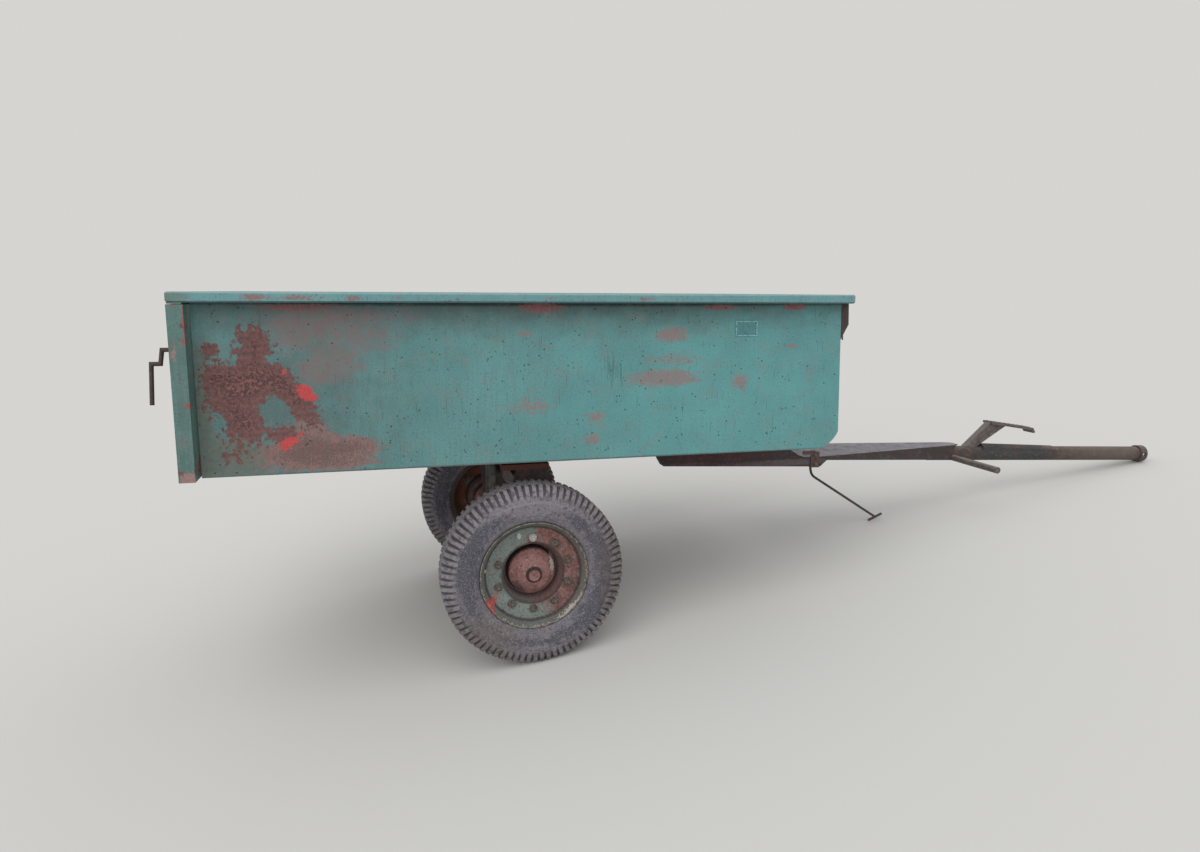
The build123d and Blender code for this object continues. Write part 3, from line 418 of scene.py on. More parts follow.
@dataclass(frozen=True)
class WeatheredFinish:
    """One outdoor finish: its own two colours, what wears it, and how rough and uneven it is."""

    title: str
    colour: str
    shade: str
    stains: tuple[Stain, ...] = ()
    cloud: float = 160.0
    roughness: float = 0.55
    metallic: float = 0.0
    grit: float = 2.5
    grit_height: float = 0.15
    dent: float = 190.0
    dent_height: float = 0.0
    pits: float = 0.0
    pit_colour: str = "37443f"
    pit_spacing: float = 19.0
    sheet_layers: float = 3.0
    dust_and_top_light_colour: str = "8b8680"
    dust_and_top_light: float = 0.0

    def make(self, level: LevelFrame) -> bpy.types.Material:
        """Build the finish's node tree.

        Args:
            level: the trailer's level frame, which the patterns keep to.

        Returns:
            The material.
        """
        material = bpy.data.materials.new(self.title)
        material.use_nodes = True
        tree = material.node_tree
        shader = tree.nodes["Principled BSDF"]
        weave = Weave(tree, level)
        cloud = weave.noise(self.cloud, self.sheet_layers)
        colour = weave.blend(weave.ramp(cloud, *CLOUD_RANGE), linear(self.colour), linear(self.shade))
        roughness = weave.ramp(cloud, 0.0, 1.0, self.roughness - ROUGHNESS_SWING,
                               self.roughness + ROUGHNESS_SWING)
        height = weave.calc("MULTIPLY", weave.noise(self.grit, 2.0), self.grit_height * MM)
        if self.dent_height:
            height = weave.calc("MULTIPLY_ADD", weave.noise(self.dent, 1.0), self.dent_height * MM, height)
        if self.dust_and_top_light:
            colour = self._dusted_and_top_lit(weave, colour)
        for stain in self.stains:
            mask = weave.mask(stain)
            tint = weave.ramp(weave.noise(stain.grain * TINT_GRAIN, 3.0), *TINT_RANGE)
            paint = weave.blend(tint, linear(stain.colour), linear(stain.second))
            colour = weave.blend(mask, colour, paint)
            roughness = add(tree, "ShaderNodeMix", {0: mask, 2: roughness, 3: stain.roughness},
                            data_type="FLOAT").outputs[0]
            if stain.raised:
                height = weave.calc("MULTIPLY_ADD", mask, stain.raised * MM, height)
        if self.pits:
            colour, height = self._pitted(weave, colour, height)
        bump = add(tree, "ShaderNodeBump", {"Strength": 1.0, "Distance": 1.0, "Height": height})
        tree.links.new(bump.outputs[0], shader.inputs["Normal"])
        tree.links.new(colour, shader.inputs["Base Color"])
        tree.links.new(roughness, shader.inputs["Roughness"])
        shader.inputs["Metallic"].default_value = self.metallic
        return material

    def _dusted_and_top_lit(self, weave: Weave, colour: Socket) -> Socket:
        """Lay dust and sun bleach on the faces that look up, with painted top light there as well.

        Args:
            weave: the finish's patterns.
            colour: the colour so far.

        Returns:
            The dusted colour, with its painted top light.
        """
        facing = add(weave.tree, "ShaderNodeTexCoord").outputs["Normal"]
        up = add(weave.tree, "ShaderNodeSeparateXYZ", {0: facing}).outputs["Z"]
        lie = weave.calc("MULTIPLY_ADD", weave.noise(DUST_CLOUD, 4.0), DUST_PATCHINESS, up)
        return weave.blend(weave.ramp(lie, *DUST_AND_TOP_LIGHT_RANGE, 0.0, self.dust_and_top_light), colour, linear(self.dust_and_top_light_colour))

    def _pitted(self, weave: Weave, colour: Socket, height: Socket) -> tuple[Socket, Socket]:
        """Scatter small dark pits, where the paint has gone in dots.

        Args:
            weave: the finish's patterns.
            colour: the colour so far.
            height: the height so far.

        Returns:
            The pitted colour and height.
        """
        cell = add(weave.tree, "ShaderNodeTexVoronoi", {"Vector": weave.place,
                                                        "Scale": 1 / (self.pit_spacing * MM)})
        some = weave.noise(self.pit_spacing * PIT_CLOUD, 2.0)
        reach = weave.ramp(some, *PIT_RANGE, 0.0, PIT_REACH * self.pits)
        gap = weave.calc("SUBTRACT", reach, cell.outputs["Distance"])
        dot = weave.ramp(gap, 0.0, PIT_SOFTNESS, 0.0, PIT_COVER)
        return (weave.blend(dot, colour, linear(self.pit_colour)),
                weave.calc("MULTIPLY_ADD", dot, -PIT_DEPTH * MM, height))


# Alkyd enamel brushed on steel years ago: chalky, so the gloss is low and the colour is clouded.
NEAR_FACE = -560.0
RED_UNDER_RIM = tuple(spot.on(NEAR_FACE) for spot in (
    Patch(-659, 824, 105, 9, 0.8), Patch(24, 822, 62, 14), Patch(590, 824, 55, 9, 0.8),
    Patch(850, 826, 42, 11, 0.9)))
PANEL_RUST = (
    Patch(-770, 712, 46, 60), Patch(-836, 590, 66, 80), Patch(-800, 500, 70, 50, 0.9),
    Patch(-760, 620, 70, 50), Patch(-671, 575, 96, 36, 1.0, 54), Patch(-700, 475, 40, 30, 0.7),
    Patch(-882, 708, 20, 22, 0.9), Patch(-870, 640, 40, 40, 0.6), Patch(-838, 420, 50, 24, 0.45),
    Patch(-722, 536, 34, 44, -0.5), Patch(-866, 512, 24, 28, -0.5), Patch(-735, 680, 20, 16, -0.3))
PANEL_WARM_RUST = (
    Patch(-590, 424, 125, 42), Patch(-690, 412, 90, 44, 0.8), Patch(-520, 430, 60, 26, 0.6),
    Patch(-640, 476, 60, 40, 0.7), Patch(-560, 384, 110, 20, 0.7))
PANEL_SALMON = tuple(spot.on(NEAR_FACE) for spot in (
    Patch(439, 741, 51, 23), Patch(444, 662, 77, 16, 0.5), Patch(414, 607, 104, 24, 1.2),
    Patch(666, 587, 29, 27, 0.7), Patch(842, 701, 21, 6), Patch(196, 493, 30, 16, 0.7),
    Patch(-5, 529, 60, 26, 0.5), Patch(-29, 748, 22, 10, 0.6), Patch(184, 424, 24, 19, 0.6)))
PANEL_SPOTS = tuple(spot.on(NEAR_FACE) for spot in (
    Patch(-643, 590, 24, 18, 1.0, 25), Patch(-628, 574, 16, 9), Patch(-702, 444, 14, 18, 1.0, 30),
    Patch(-684, 455, 16, 10), Patch(-661, 471, 8, 6, 0.8), Patch(-696, 646, 6, 9, 0.8)))
PANEL_FADE = (Patch(-570, 665, 80, 46, 0.9), Patch(-610, 640, 46, 30, 0.8), Patch(-480, 735, 90, 40, 0.7),
              Patch(-640, 760, 90, 50, 0.8), Patch(-560, 800, 190, 26, 0.8))

STREAKS = Stain("679091", "4d706e", grain=9, cover=0.42, soft=0.14, amount=0.45, stretch=14, roughness=0.7)
SPECKS = Stain("3f5654", "58524f", grain=5, cover=0.14, soft=0.05, amount=0.55)
PALE_SPECKS = Stain("8aa7a3", "9aa39d", grain=4, cover=0.02, soft=0.04, amount=0.6)
BLUSH = Stain("74807c", "866f6e", grain=55, cover=0.14, soft=0.2, amount=0.3)
SCRATCHES = Stain("3f524f", "344644", grain=3.2, cover=0.0, soft=0.05, amount=0.65, stretch=30)
CHIPS = Stain("b9c1b6", "9aa59b", grain=8, cover=-0.32, soft=0.03, amount=0.8)
RUST = Stain("7b5351", "604341", grain=17, ragged=2.3, soft=0.07, amount=0.95, raised=0.3)
SALMON = Stain("92706f", "7c7977", grain=15, ragged=1.8, soft=0.2, amount=0.8, stretch=0.5)
FADED_RED = Stain("a0595b", "795454", grain=10, ragged=1.4, soft=0.16, amount=0.75)
# A dark band on the panel just under the rim rail: painted shadow of the rail's overhang.
PAINTED_SHADOW_UNDER_RIM = Stain("26302f", "1f2928", (Patch(50, 842, 1100, 13, 1.4),), grain=80, ragged=0.2, soft=0.3,
                  amount=0.88)

NEAR_PANEL = WeatheredFinish(
    "chalky_brushed_enamel_near_panel", "5d9292", "518283", cloud=260, roughness=0.48, dent_height=1.8,
    pits=0.85, pit_spacing=13, pit_colour="2b3534", stains=(
        STREAKS,
        Stain("5f9fa0", "5b9798", (Patch(600, 560, 560, 280, 0.9),), grain=150, soft=0.35, amount=0.75),
        # Darker over the rear third, and darker along the top under the rim rail, which is painted shade of
        # the rail.
        Stain("4f6968", "546463", (Patch(-700, 590, 280, 270, 0.7), Patch(0, 850, 1000, 90, 0.8)), grain=60,
              soft=0.3, amount=0.8),
        PAINTED_SHADOW_UNDER_RIM,
        Stain("3e4c49", "544440", (Patch(50, 359, 1100, 5, 1.2),), grain=30, ragged=0.6, soft=0.3,
              amount=0.7),
        BLUSH, SPECKS, PALE_SPECKS,
        Stain("6f6a60", "5f665c", (Patch(-830, 410, 120, 60), Patch(-905, 560, 22, 190, 0.8)), grain=24,
              ragged=1.6, soft=0.14, amount=0.75),
        Stain("806668", "6f7270", PANEL_FADE, grain=22, ragged=1.3, soft=0.26, amount=0.75),
        Stain("8f6b67", "77605c", PANEL_WARM_RUST, grain=14, ragged=1.5, soft=0.12, amount=0.9, raised=0.2),
        Stain("5b4240", "6a5450", PANEL_WARM_RUST, grain=5, ragged=3.0, soft=0.06, amount=0.6, edge=0.9),
        RUST.at(*PANEL_RUST, amount=0.97, raised=0.4),
        Stain("43302f", "513a38", PANEL_RUST, grain=7, ragged=2.6, soft=0.05, amount=0.8, raised=-0.2,
              edge=0.95),
        Stain("9d6b66", "8d5f5b", PANEL_RUST, grain=10, ragged=2.6, soft=0.08, amount=0.6, edge=1.15),
        SALMON.at(*PANEL_SALMON),
        FADED_RED.at(*RED_UNDER_RIM),
        Stain("cb4a4c", "a84545", PANEL_SPOTS, grain=6, ragged=1.8, soft=0.06),
        Stain("334644", "2d3d3c", (Patch(245, 640, 48, 66),), grain=2.6, ragged=3.4, soft=0.12, amount=0.4,
              stretch=22, edge=0.75),
        SCRATCHES, CHIPS))

FAR_PANEL = WeatheredFinish(
    "chalky_brushed_enamel_far_panel", "5a8e8e", "507f7e", cloud=240, roughness=0.5, dent_height=1.6,
    pits=0.85, pit_spacing=13, pit_colour="2b3534", stains=(
        STREAKS, BLUSH, SPECKS, PALE_SPECKS, PAINTED_SHADOW_UNDER_RIM,
        RUST.at(Patch(-820, 430, 90, 60), Patch(-740, 470, 70, 44, 0.8), Patch(-868, 540, 40, 90, 0.8),
                Patch(310, 384, 170, 26, 0.9), Patch(420, 410, 60, 30, 0.6), Patch(945, 470, 60, 90, 0.9),
                Patch(900, 400, 50, 40, 0.8), colour="7a5452", second="604442", amount=0.96, raised=0.35),
        SALMON.at(Patch(60, 650, 90, 30, 0.9), Patch(-330, 720, 60, 24, 0.9)),
        FADED_RED.at(Patch(-300, 824, 80, 9), Patch(480, 822, 60, 12)),
        SCRATCHES, CHIPS))

RIM_RAIL = WeatheredFinish(
    "chalky_brushed_enamel_rim_rail", "6a989b", "5f8d91", cloud=170, roughness=0.46, dent_height=0.8,
    pits=0.4, pit_spacing=14, stains=(
        Stain("6d857f", "637772", (Patch(-960, 850, 38, 60),), grain=40, soft=0.2, amount=0.85),
        SPECKS,
        Stain("93716f", "766260", (Patch(-755, 851, 34, 9, 0.9), Patch(-505, 849, 18, 8, 0.8),
                                   Patch(330, 850, 30, 6, 0.5), Patch(-640, 850, 60, 8, 0.5)),
              grain=9, ragged=1.6, soft=0.14, amount=0.85),
        Stain("8a6f6b", "715453", grain=24, cover=0.0, soft=0.06, amount=0.8),
        # A light line along the rail's top edge: painted highlight.
        Stain("84a5a4", "8fadab", (Patch(50, 866, 1200, 6, 1.2),), grain=18, ragged=0.8, soft=0.2,
              amount=0.6),
        # A dark line along the rail's lower edge: painted shade.
        Stain("435c5c", "3a5050", (Patch(50, 838, 1200, 4, 1.2),), grain=18, ragged=0.8, soft=0.2,
              amount=0.7),
        SCRATCHES))

GATE_END = -614.0
GATE_PANEL = WeatheredFinish(
    "chalky_brushed_enamel_tailgate", "56756f", "4c6a64", cloud=130, roughness=0.52, dent_height=1.2,
    pits=0.5, pit_spacing=16, pit_colour="2b3534", stains=(
        STREAKS, BLUSH, SPECKS,
        Stain("7b5351", "604341", grain=60, cover=0.02, soft=0.07, amount=0.9),
        RUST.at(Patch(-940, 392, 60, 34).on(-390, 190), Patch(-940, 380, 60, 26).on(180, 260),
                Patch(-940, 470, 60, 60, 0.7).on(560, 60), Patch(-940, 640, 60, 50, 0.7).on(-90, 70),
                Patch(-940, 790, 60, 30, 0.8).on(250, 120), grain=18, ragged=2.2),
        Stain("a05455", "7a4b4b", tuple(spot.on(GATE_END, 16) for spot in (
            Patch(-928, 782, 3.4, 48, 0.9), Patch(-930, 735, 6, 8), Patch(-932, 568, 9, 8),
            Patch(-958, 834, 20, 5, 0.8))), grain=7, ragged=1.8, soft=0.14, amount=0.8),
        Stain("a57f79", "8b6d68", tuple(spot.on(GATE_END, 16) for spot in (
            Patch(-944, 368, 20, 21), Patch(-958, 704, 7, 22, 0.6))), grain=8, ragged=1.4, soft=0.14,
              amount=0.85),
        SCRATCHES, CHIPS))

PLATE_PAINT = WeatheredFinish(
    "brushed_enamel_blank_plate", "4f8487", "477a7b", cloud=40, roughness=0.42, pits=0.4, pit_spacing=9,
    stains=(Stain("3d6264", "365758", grain=10, cover=0.15, soft=0.1, amount=0.6), SCRATCHES))
PLATE_EDGE = WeatheredFinish(
    "rubbed_enamel_plate_border", "7db3b3", "6ea5a6", cloud=20, roughness=0.4, stains=(
        Stain("4f8487", "447375", grain=8, cover=0.3, soft=0.1, amount=0.8),))

# The load space: paint scoured off by loads, so bare rusted sheet shows with paint left in the corners.
BED_INSIDE = WeatheredFinish(
    "scoured_steel_sheet_load_space", "62776e", "576860", cloud=190, roughness=0.6, dent_height=1.4,
    pits=0.7, stains=(
        Stain("695649", "56443a", grain=150, cover=0.5, soft=0.16, amount=0.9, raised=0.1),
        Stain("807d68", "736e5c", (Patch(0, 350, 900, 60),), grain=70, soft=0.3, amount=0.75),
        Stain("5a8e8e", "4f7d7d", (Patch(1060, 640, 110, 430, 1.5),), grain=150, ragged=0.7, soft=0.1,
              amount=0.96),
        RUST.at(Patch(1030, 374, 60, 24).on(-210, 230), Patch(1030, 372, 60, 18).on(330, 150),
                Patch(1030, 430, 60, 60, 0.7).on(530, 40), Patch(1030, 560, 60, 22, 0.7).on(60, 50),
                Patch(1030, 815, 60, 22, 0.7).on(-300, 160)),
        SPECKS,
        Stain("88988a", "78887c", grain=5, cover=0.02, soft=0.05, amount=0.6, stretch=0.05), SCRATCHES))

# Mill-scaled angle and sheet under the bed: dark, matt and dusted, with red lead primer in places.
# The underside's dark colour is partly painted shade under the bed.
UNDERSIDE = WeatheredFinish(
    "dusty_mill_scaled_steel_underside_painted_shade", "443b3a", "383130", cloud=90, roughness=0.8, grit=3, grit_height=0.3,
    stains=(Stain("5c433a", "4f3934", grain=45, cover=0.3, soft=0.15, amount=0.7),
            Stain("716c61", "66615a", grain=25, cover=0.1, soft=0.2, amount=0.5)))
BRACKET = WeatheredFinish(
    "red_lead_primer_on_angle", "493c3a", "3c3130", cloud=50, roughness=0.8, grit=3, grit_height=0.3,
    stains=(Stain("753f38", "5e3732", (Patch(0, 316, 110, 12),), grain=12, ragged=1.4, soft=0.14),
            Stain("6b564f", "5a4844", grain=20, cover=0.2, soft=0.2, amount=0.6)))
# Dark rusted steel, darker still as painted shade under the rim.
GUSSET = WeatheredFinish(
    "dark_rusted_steel_gusset_painted_shade", "433c3b", "363031", cloud=40, roughness=0.75, grit_height=0.3,
    stains=(Stain("664c44", "543f3a", grain=20, cover=0.35, soft=0.2, amount=0.7),))
POST_STEEL = WeatheredFinish(
    "grey_primed_folded_steel", "777973", "676865", cloud=60, roughness=0.7, grit_height=0.25,
    stains=(Stain("594541", "483835", grain=30, cover=0.3, soft=0.15, amount=0.8),
            Stain("888c85", "7c7f7a", grain=14, cover=0.15, soft=0.2, amount=0.5, stretch=5)))

# Hot-rolled chassis channel, brown with old even rust, lighter where dust lies and as painted top light on
# faces that look up.
# The rail's dark base colour is partly painted shade under the bed, and its lighter upper faces are partly
# painted top light.
RAIL_STEEL = WeatheredFinish(
    "rusted_hot_rolled_channel_painted_shade", "3a2e30", "302729", cloud=80, roughness=0.74, grit=3, grit_height=0.3,
    dust_and_top_light_colour="6f686c", dust_and_top_light=0.5,
    stains=(Stain("675d5e", "5c5152", (Patch(1030, 222, 260, 14, 0.9), Patch(650, 236, 120, 8, 0.5)),
                  grain=24, ragged=0.8, soft=0.2, amount=0.8),
            Stain("5b3c39", "4b3332", (Patch(760, 262, 220, 34, 0.7), Patch(360, 296, 160, 20, 0.6)),
                  grain=30, soft=0.25, amount=0.75),
            Stain("6a615e", "5f5654", grain=12, cover=0.08, soft=0.12, amount=0.5)))
STRAP_STEEL = WeatheredFinish(
    "rusted_red_primed_strap", "5e4644", "4f3b3a", cloud=24, roughness=0.75, grit_height=0.3,
    stains=(Stain("735851", "664d48", grain=12, cover=0.3, soft=0.2, amount=0.7),
            Stain("3a2e2e", "31292b", grain=16, cover=0.15, soft=0.15, amount=0.7)))
# Pale on its upper faces: dust, and painted top light.
DECK_STEEL = WeatheredFinish(
    "dusty_top_lit_rusted_steel_tongue", "3f3533", "352c2c", cloud=120, roughness=0.72, grit=3, grit_height=0.3,
    dent_height=0.8, dust_and_top_light_colour="8b888f", dust_and_top_light=0.95, stains=(
        Stain("54494b", "4a4041", grain=60, cover=0.25, soft=0.25, amount=0.45),
        Stain("6d6568", "605a5d", grain=20, cover=0.12, soft=0.2, amount=0.4),
        Stain("65493f", "573f38", grain=16, cover=-0.02, soft=0.06, amount=0.8),
        Stain("2d2526", "261f20", grain=5, cover=0.0, soft=0.05, amount=0.7)))
# Lighter along its upper faces: dust, and painted top light.
PIPE_STEEL = WeatheredFinish(
    "rusted_drawn_steel_tube", "463735", "3a2e2c", cloud=70, roughness=0.62, grit=2, grit_height=0.35,
    dust_and_top_light_colour="86756f", dust_and_top_light=0.6,
    stains=(Stain("625147", "57463d", grain=34, cover=0.35, soft=0.2, amount=0.7),
            Stain("3e4143", "353839", (Patch(2322, 170, 78, 60), Patch(2120, 200, 120, 60, 0.7)), grain=26,
                  ragged=0.6, soft=0.25, amount=0.85),
            Stain("2f2626", "271f20", grain=7, cover=0.12, soft=0.1, amount=0.6, raised=-0.2),
            Stain("675c54", "70655e", (Patch(2750, 140, 260, 70, 0.7),), grain=40, soft=0.3, amount=0.6),
            Stain("857e71", "786f65", grain=9, cover=0.03, soft=0.1, amount=0.5)))
PEG_STEEL = WeatheredFinish(
    "worn_bare_steel_bar", "5d5250", "4b403f", cloud=40, roughness=0.6, grit_height=0.4,
    dust_and_top_light_colour="8f8882", dust_and_top_light=0.6,
    stains=(Stain("79766b", "68625c", grain=14, cover=0.3, soft=0.2, amount=0.7),))
ROD_STEEL = WeatheredFinish(
    "rusted_bright_drawn_rod", "473d3b", "3a3231", cloud=30, roughness=0.65, grit_height=0.2,
    stains=(Stain("665348", "57453c", grain=18, cover=0.3, soft=0.2, amount=0.8),))

# Pressed wheel: grey-green wheel enamel, rusted through on its upper right, bright primer at one edge.
WHEEL_FACE = -540.0
RED_LIP = Patch(-138, -92, 24, 88, 1.0, 33).on(WHEEL_FACE, 60)
WHEEL_GRIME_AND_SHADE = (
    Stain("8a625c", "694b48", grain=12, cover=0.16, soft=0.08, amount=0.8),
    Stain("4c4a47", "403e3c", grain=6, cover=0.2, soft=0.06, amount=0.7),
    Stain("62645f", "565853", (Ring(160, 8),), grain=10, ragged=1.2, soft=0.2, amount=0.8),
    # Dark lines at the disc's inner and outer edges: painted shade in the creases.
    Stain("3d3534", "312a2a", (Ring(98, 4, 0.8), Ring(151, 4, 0.8)), grain=12, ragged=0.8, soft=0.3,
          amount=0.8),
    Stain("7b6460", "665451", (Ring(86, 8, 0.9),), grain=12, ragged=0.8, soft=0.3, amount=0.8))
WHEEL_ENAMEL = WeatheredFinish(
    "chalky_wheel_enamel_over_rust", "6a7c76", "666d69", cloud=22, roughness=0.55, grit=3, grit_height=0.5,
    pits=1.0, pit_spacing=6, pit_colour="332c2c", stains=(
        Stain("855852", "6a4542", (Patch(96, 50, 84, 96, 1.1), Patch(78, -96, 84, 56, 0.9),
                                   Patch(44, 118, 60, 34, 0.8), Patch(-60, 40, 30, 20, 0.35)),
              grain=24, ragged=1.9, soft=0.06, raised=0.4),
        Stain("807873", "8b837c", grain=9, cover=0.34, soft=0.12, amount=0.5),
        Stain("87918d", "7a8783", (Patch(-10, -122, 70, 26, 0.9), Patch(-92, -84, 40, 40, 0.6)), grain=12,
              ragged=1.2, soft=0.2, amount=0.75),
        *WHEEL_GRIME_AND_SHADE,
        Stain("b9504c", "9b4644", (RED_LIP, Ring(167, 6, 0.6)), grain=8, ragged=0.8, soft=0.08, edge=0.68),
        Stain("b4b4ab", "a0a198", (Patch(-43, 122, 5, 9, 1.2), Patch(-150, 20, 4, 5)), grain=9, ragged=0.4,
              soft=0.08, amount=0.9),
        Stain("b3aea4", "9c978e", (Patch(116, -118, 50, 14, 0.6, -42), Ring(166, 7, 0.6)), grain=7,
              ragged=2.2, soft=0.06, edge=0.7)))
WHEEL_ENAMEL_LEFT = WeatheredFinish(
    "rusted_through_wheel_enamel", "5f6f6a", "546560", cloud=40, roughness=0.6, grit=3, grit_height=0.5,
    pits=1.0, pit_spacing=6, pit_colour="332c2c", stains=(
        Stain("6d4238", "5a3831", grain=40, cover=0.66, soft=0.12, raised=0.3),
        Stain("8a5034", "75452f", (Patch(-60, 130, 90, 40, 0.9), Patch(-130, 20, 40, 90, 0.9)), grain=14,
              ragged=1.6, soft=0.14, amount=0.85),
        *WHEEL_GRIME_AND_SHADE))
HUB_PAINT = WeatheredFinish(
    "rusted_red_oxide_hub_cap", "8e6561", "7a5451", cloud=26, roughness=0.62, grit=3, grit_height=0.5,
    pits=0.9, pit_spacing=6, pit_colour="372a2a", stains=(
        Stain("9a7c76", "a98d85", grain=10, cover=0.2, soft=0.12, amount=0.6),
        Stain("5d4040", "4b3535", grain=8, cover=0.22, soft=0.1, amount=0.7),
        # A dark ring round the plug, and a dark ring at the dome's foot, which is painted shade in the
        # recess.
        Stain("332629", "291e20", (Ring(22, 4, 1.2), Ring(80, 6)), grain=12, ragged=0.5, soft=0.16,
              amount=0.92),
        Stain("4d3a3b", "3f3032", (Patch(-50, -50, 30, 34, 0.6),), grain=12, ragged=0.9, soft=0.2,
              amount=0.8),
        Stain("b9b0a6", "a59b90", (Patch(64, 26, 9, 32, 0.9),), grain=7, ragged=2.4, soft=0.06)))

# Old carbon-black tyre rubber: greyed by sun and dust, and lighter on the upper shoulder and tread, which is
# painted top light.
TYRE_CASING = WeatheredFinish(
    "sun_greyed_tyre_sidewall", "757178", "68646b", cloud=50, roughness=0.78, grit=3, grit_height=0.35,
    stains=(
        Stain("484953", "3f404a", (Ring(214, 20, 0.6), Patch(-205, 70, 50, 110, 0.8),
                                   Patch(196, -130, 60, 80, 0.7), Patch(215, 80, 36, 90, 0.5)), grain=18,
              ragged=1.6, soft=0.2, amount=0.75),
        # Lighter on the upper sidewall, which is painted top light, and lighter at the bottom.
        Stain("8a858b", "807b81", (Patch(0, 236, 190, 46), Patch(0, -250, 150, 30, 0.6)), grain=12,
              ragged=1.4, soft=0.2, amount=0.7),
        Stain("746a66", "665d5a", (Patch(-170, -190, 120, 80, 0.8), Patch(240, 20, 50, 180, 0.6)), grain=14,
              ragged=1.5, soft=0.2, amount=0.75),
        Stain("8b868d", "97929a", grain=5, cover=0.25, soft=0.08, amount=0.55),
        Stain("3d3c43", "34333a", grain=7, cover=0.2, soft=0.08, amount=0.6),
        Stain("47424a", "3e3a41", (Patch(262, -20, 60, 190, 0.8),), grain=22, ragged=1.2, soft=0.3,
              amount=0.7),
        Stain("3d3b40", "323136", (Ring(272, 18, 1.2),), grain=12, ragged=0.9, soft=0.25, amount=0.75)))
TYRE_LUGS = WeatheredFinish(
    "sun_greyed_tyre_tread", "837e82", "736f73", cloud=40, roughness=0.8, grit=3, grit_height=0.5,
    stains=(
        # Lighter on the top of the tread, which is painted top light, and lighter at its rear.
        Stain("8b878c", "7f7b80", (Patch(0, 280, 200, 40), Patch(-280, 0, 30, 120, 0.7)), grain=12,
              ragged=1.4, soft=0.2, amount=0.7),
        Stain("776c66", "685e5a", (Patch(-190, -210, 120, 90, 0.9), Patch(250, 20, 60, 200, 0.8)), grain=16,
              ragged=1.5, soft=0.2, amount=0.8),
        Stain("4b494f", "413f45", grain=12, cover=0.36, soft=0.1, amount=0.75),
        Stain("8a858a", "959095", grain=6, cover=0.15, soft=0.08, amount=0.6)))
LIP_STEEL = WeatheredFinish(
    "rubbed_steel_wheel_lip", "86877a", "737168", cloud=26, roughness=0.5, grit_height=0.15, stains=(
        Stain("5a4341", "483735", grain=13, cover=0.4, soft=0.12, amount=0.9),
        Stain("b9504c", "9b4644", (RED_LIP,), grain=8, ragged=1.2, soft=0.1, amount=0.9)))
NUT_STEEL = WeatheredFinish(
    "zinc_plated_steel_nut_gone_rusty", "6d6a60", "5b564f", cloud=16, roughness=0.55, grit_height=0.15,
    stains=(Stain("573f3b", "463432", grain=9, cover=0.45, soft=0.14, amount=0.9),
            Stain("b4b4ab", "a0a198", (Patch(0, 116, 12, 12, 1.2).on(WHEEL_FACE, 30),), grain=9,
                  ragged=0.4, amount=0.9)))
WELD_STEEL = WeatheredFinish(
    "rusted_weld_bead", "4b3e3b", "3e3332", cloud=12, roughness=0.72, grit=1.5, grit_height=0.2,
    stains=(Stain("766c61", "675c55", grain=7, cover=0.2, soft=0.2, amount=0.6),))

NODE_FINISH: dict[str, WeatheredFinish] = {
    "side_panel_right": NEAR_PANEL, "side_panel_left": FAR_PANEL, "bed_tub": BED_INSIDE,
    "top_rail": RIM_RAIL, "hinge_ears": GATE_PANEL, "tailgate_pan": GATE_PANEL, "gate_rib": GATE_PANEL,
    "gate_hinge": ROD_STEEL, "gate_handle": ROD_STEEL, "blank_plate": PLATE_PAINT,
    "corner_gusset": GUSSET, "long_bearer": UNDERSIDE, "cross_bearers": UNDERSIDE, "tip_bracket": BRACKET,
    "axle_beam": UNDERSIDE, "bolster": UNDERSIDE, "pedestal": UNDERSIDE, "post": POST_STEEL,
    "rail": RAIL_STEEL, "strap": STRAP_STEEL, "tongue": DECK_STEEL, "drawbar_pipe": PIPE_STEEL,
    "pipe_collar": PIPE_STEEL, "pipe_saddle": PIPE_STEEL, "footrest": PEG_STEEL, "foot_pedal": PEG_STEEL,
    "prop_pin": ROD_STEEL, "prop_leg": ROD_STEEL, "rim": WHEEL_ENAMEL, "rim_left": WHEEL_ENAMEL_LEFT,
    "hub": HUB_PAINT, "tyre": TYRE_CASING}


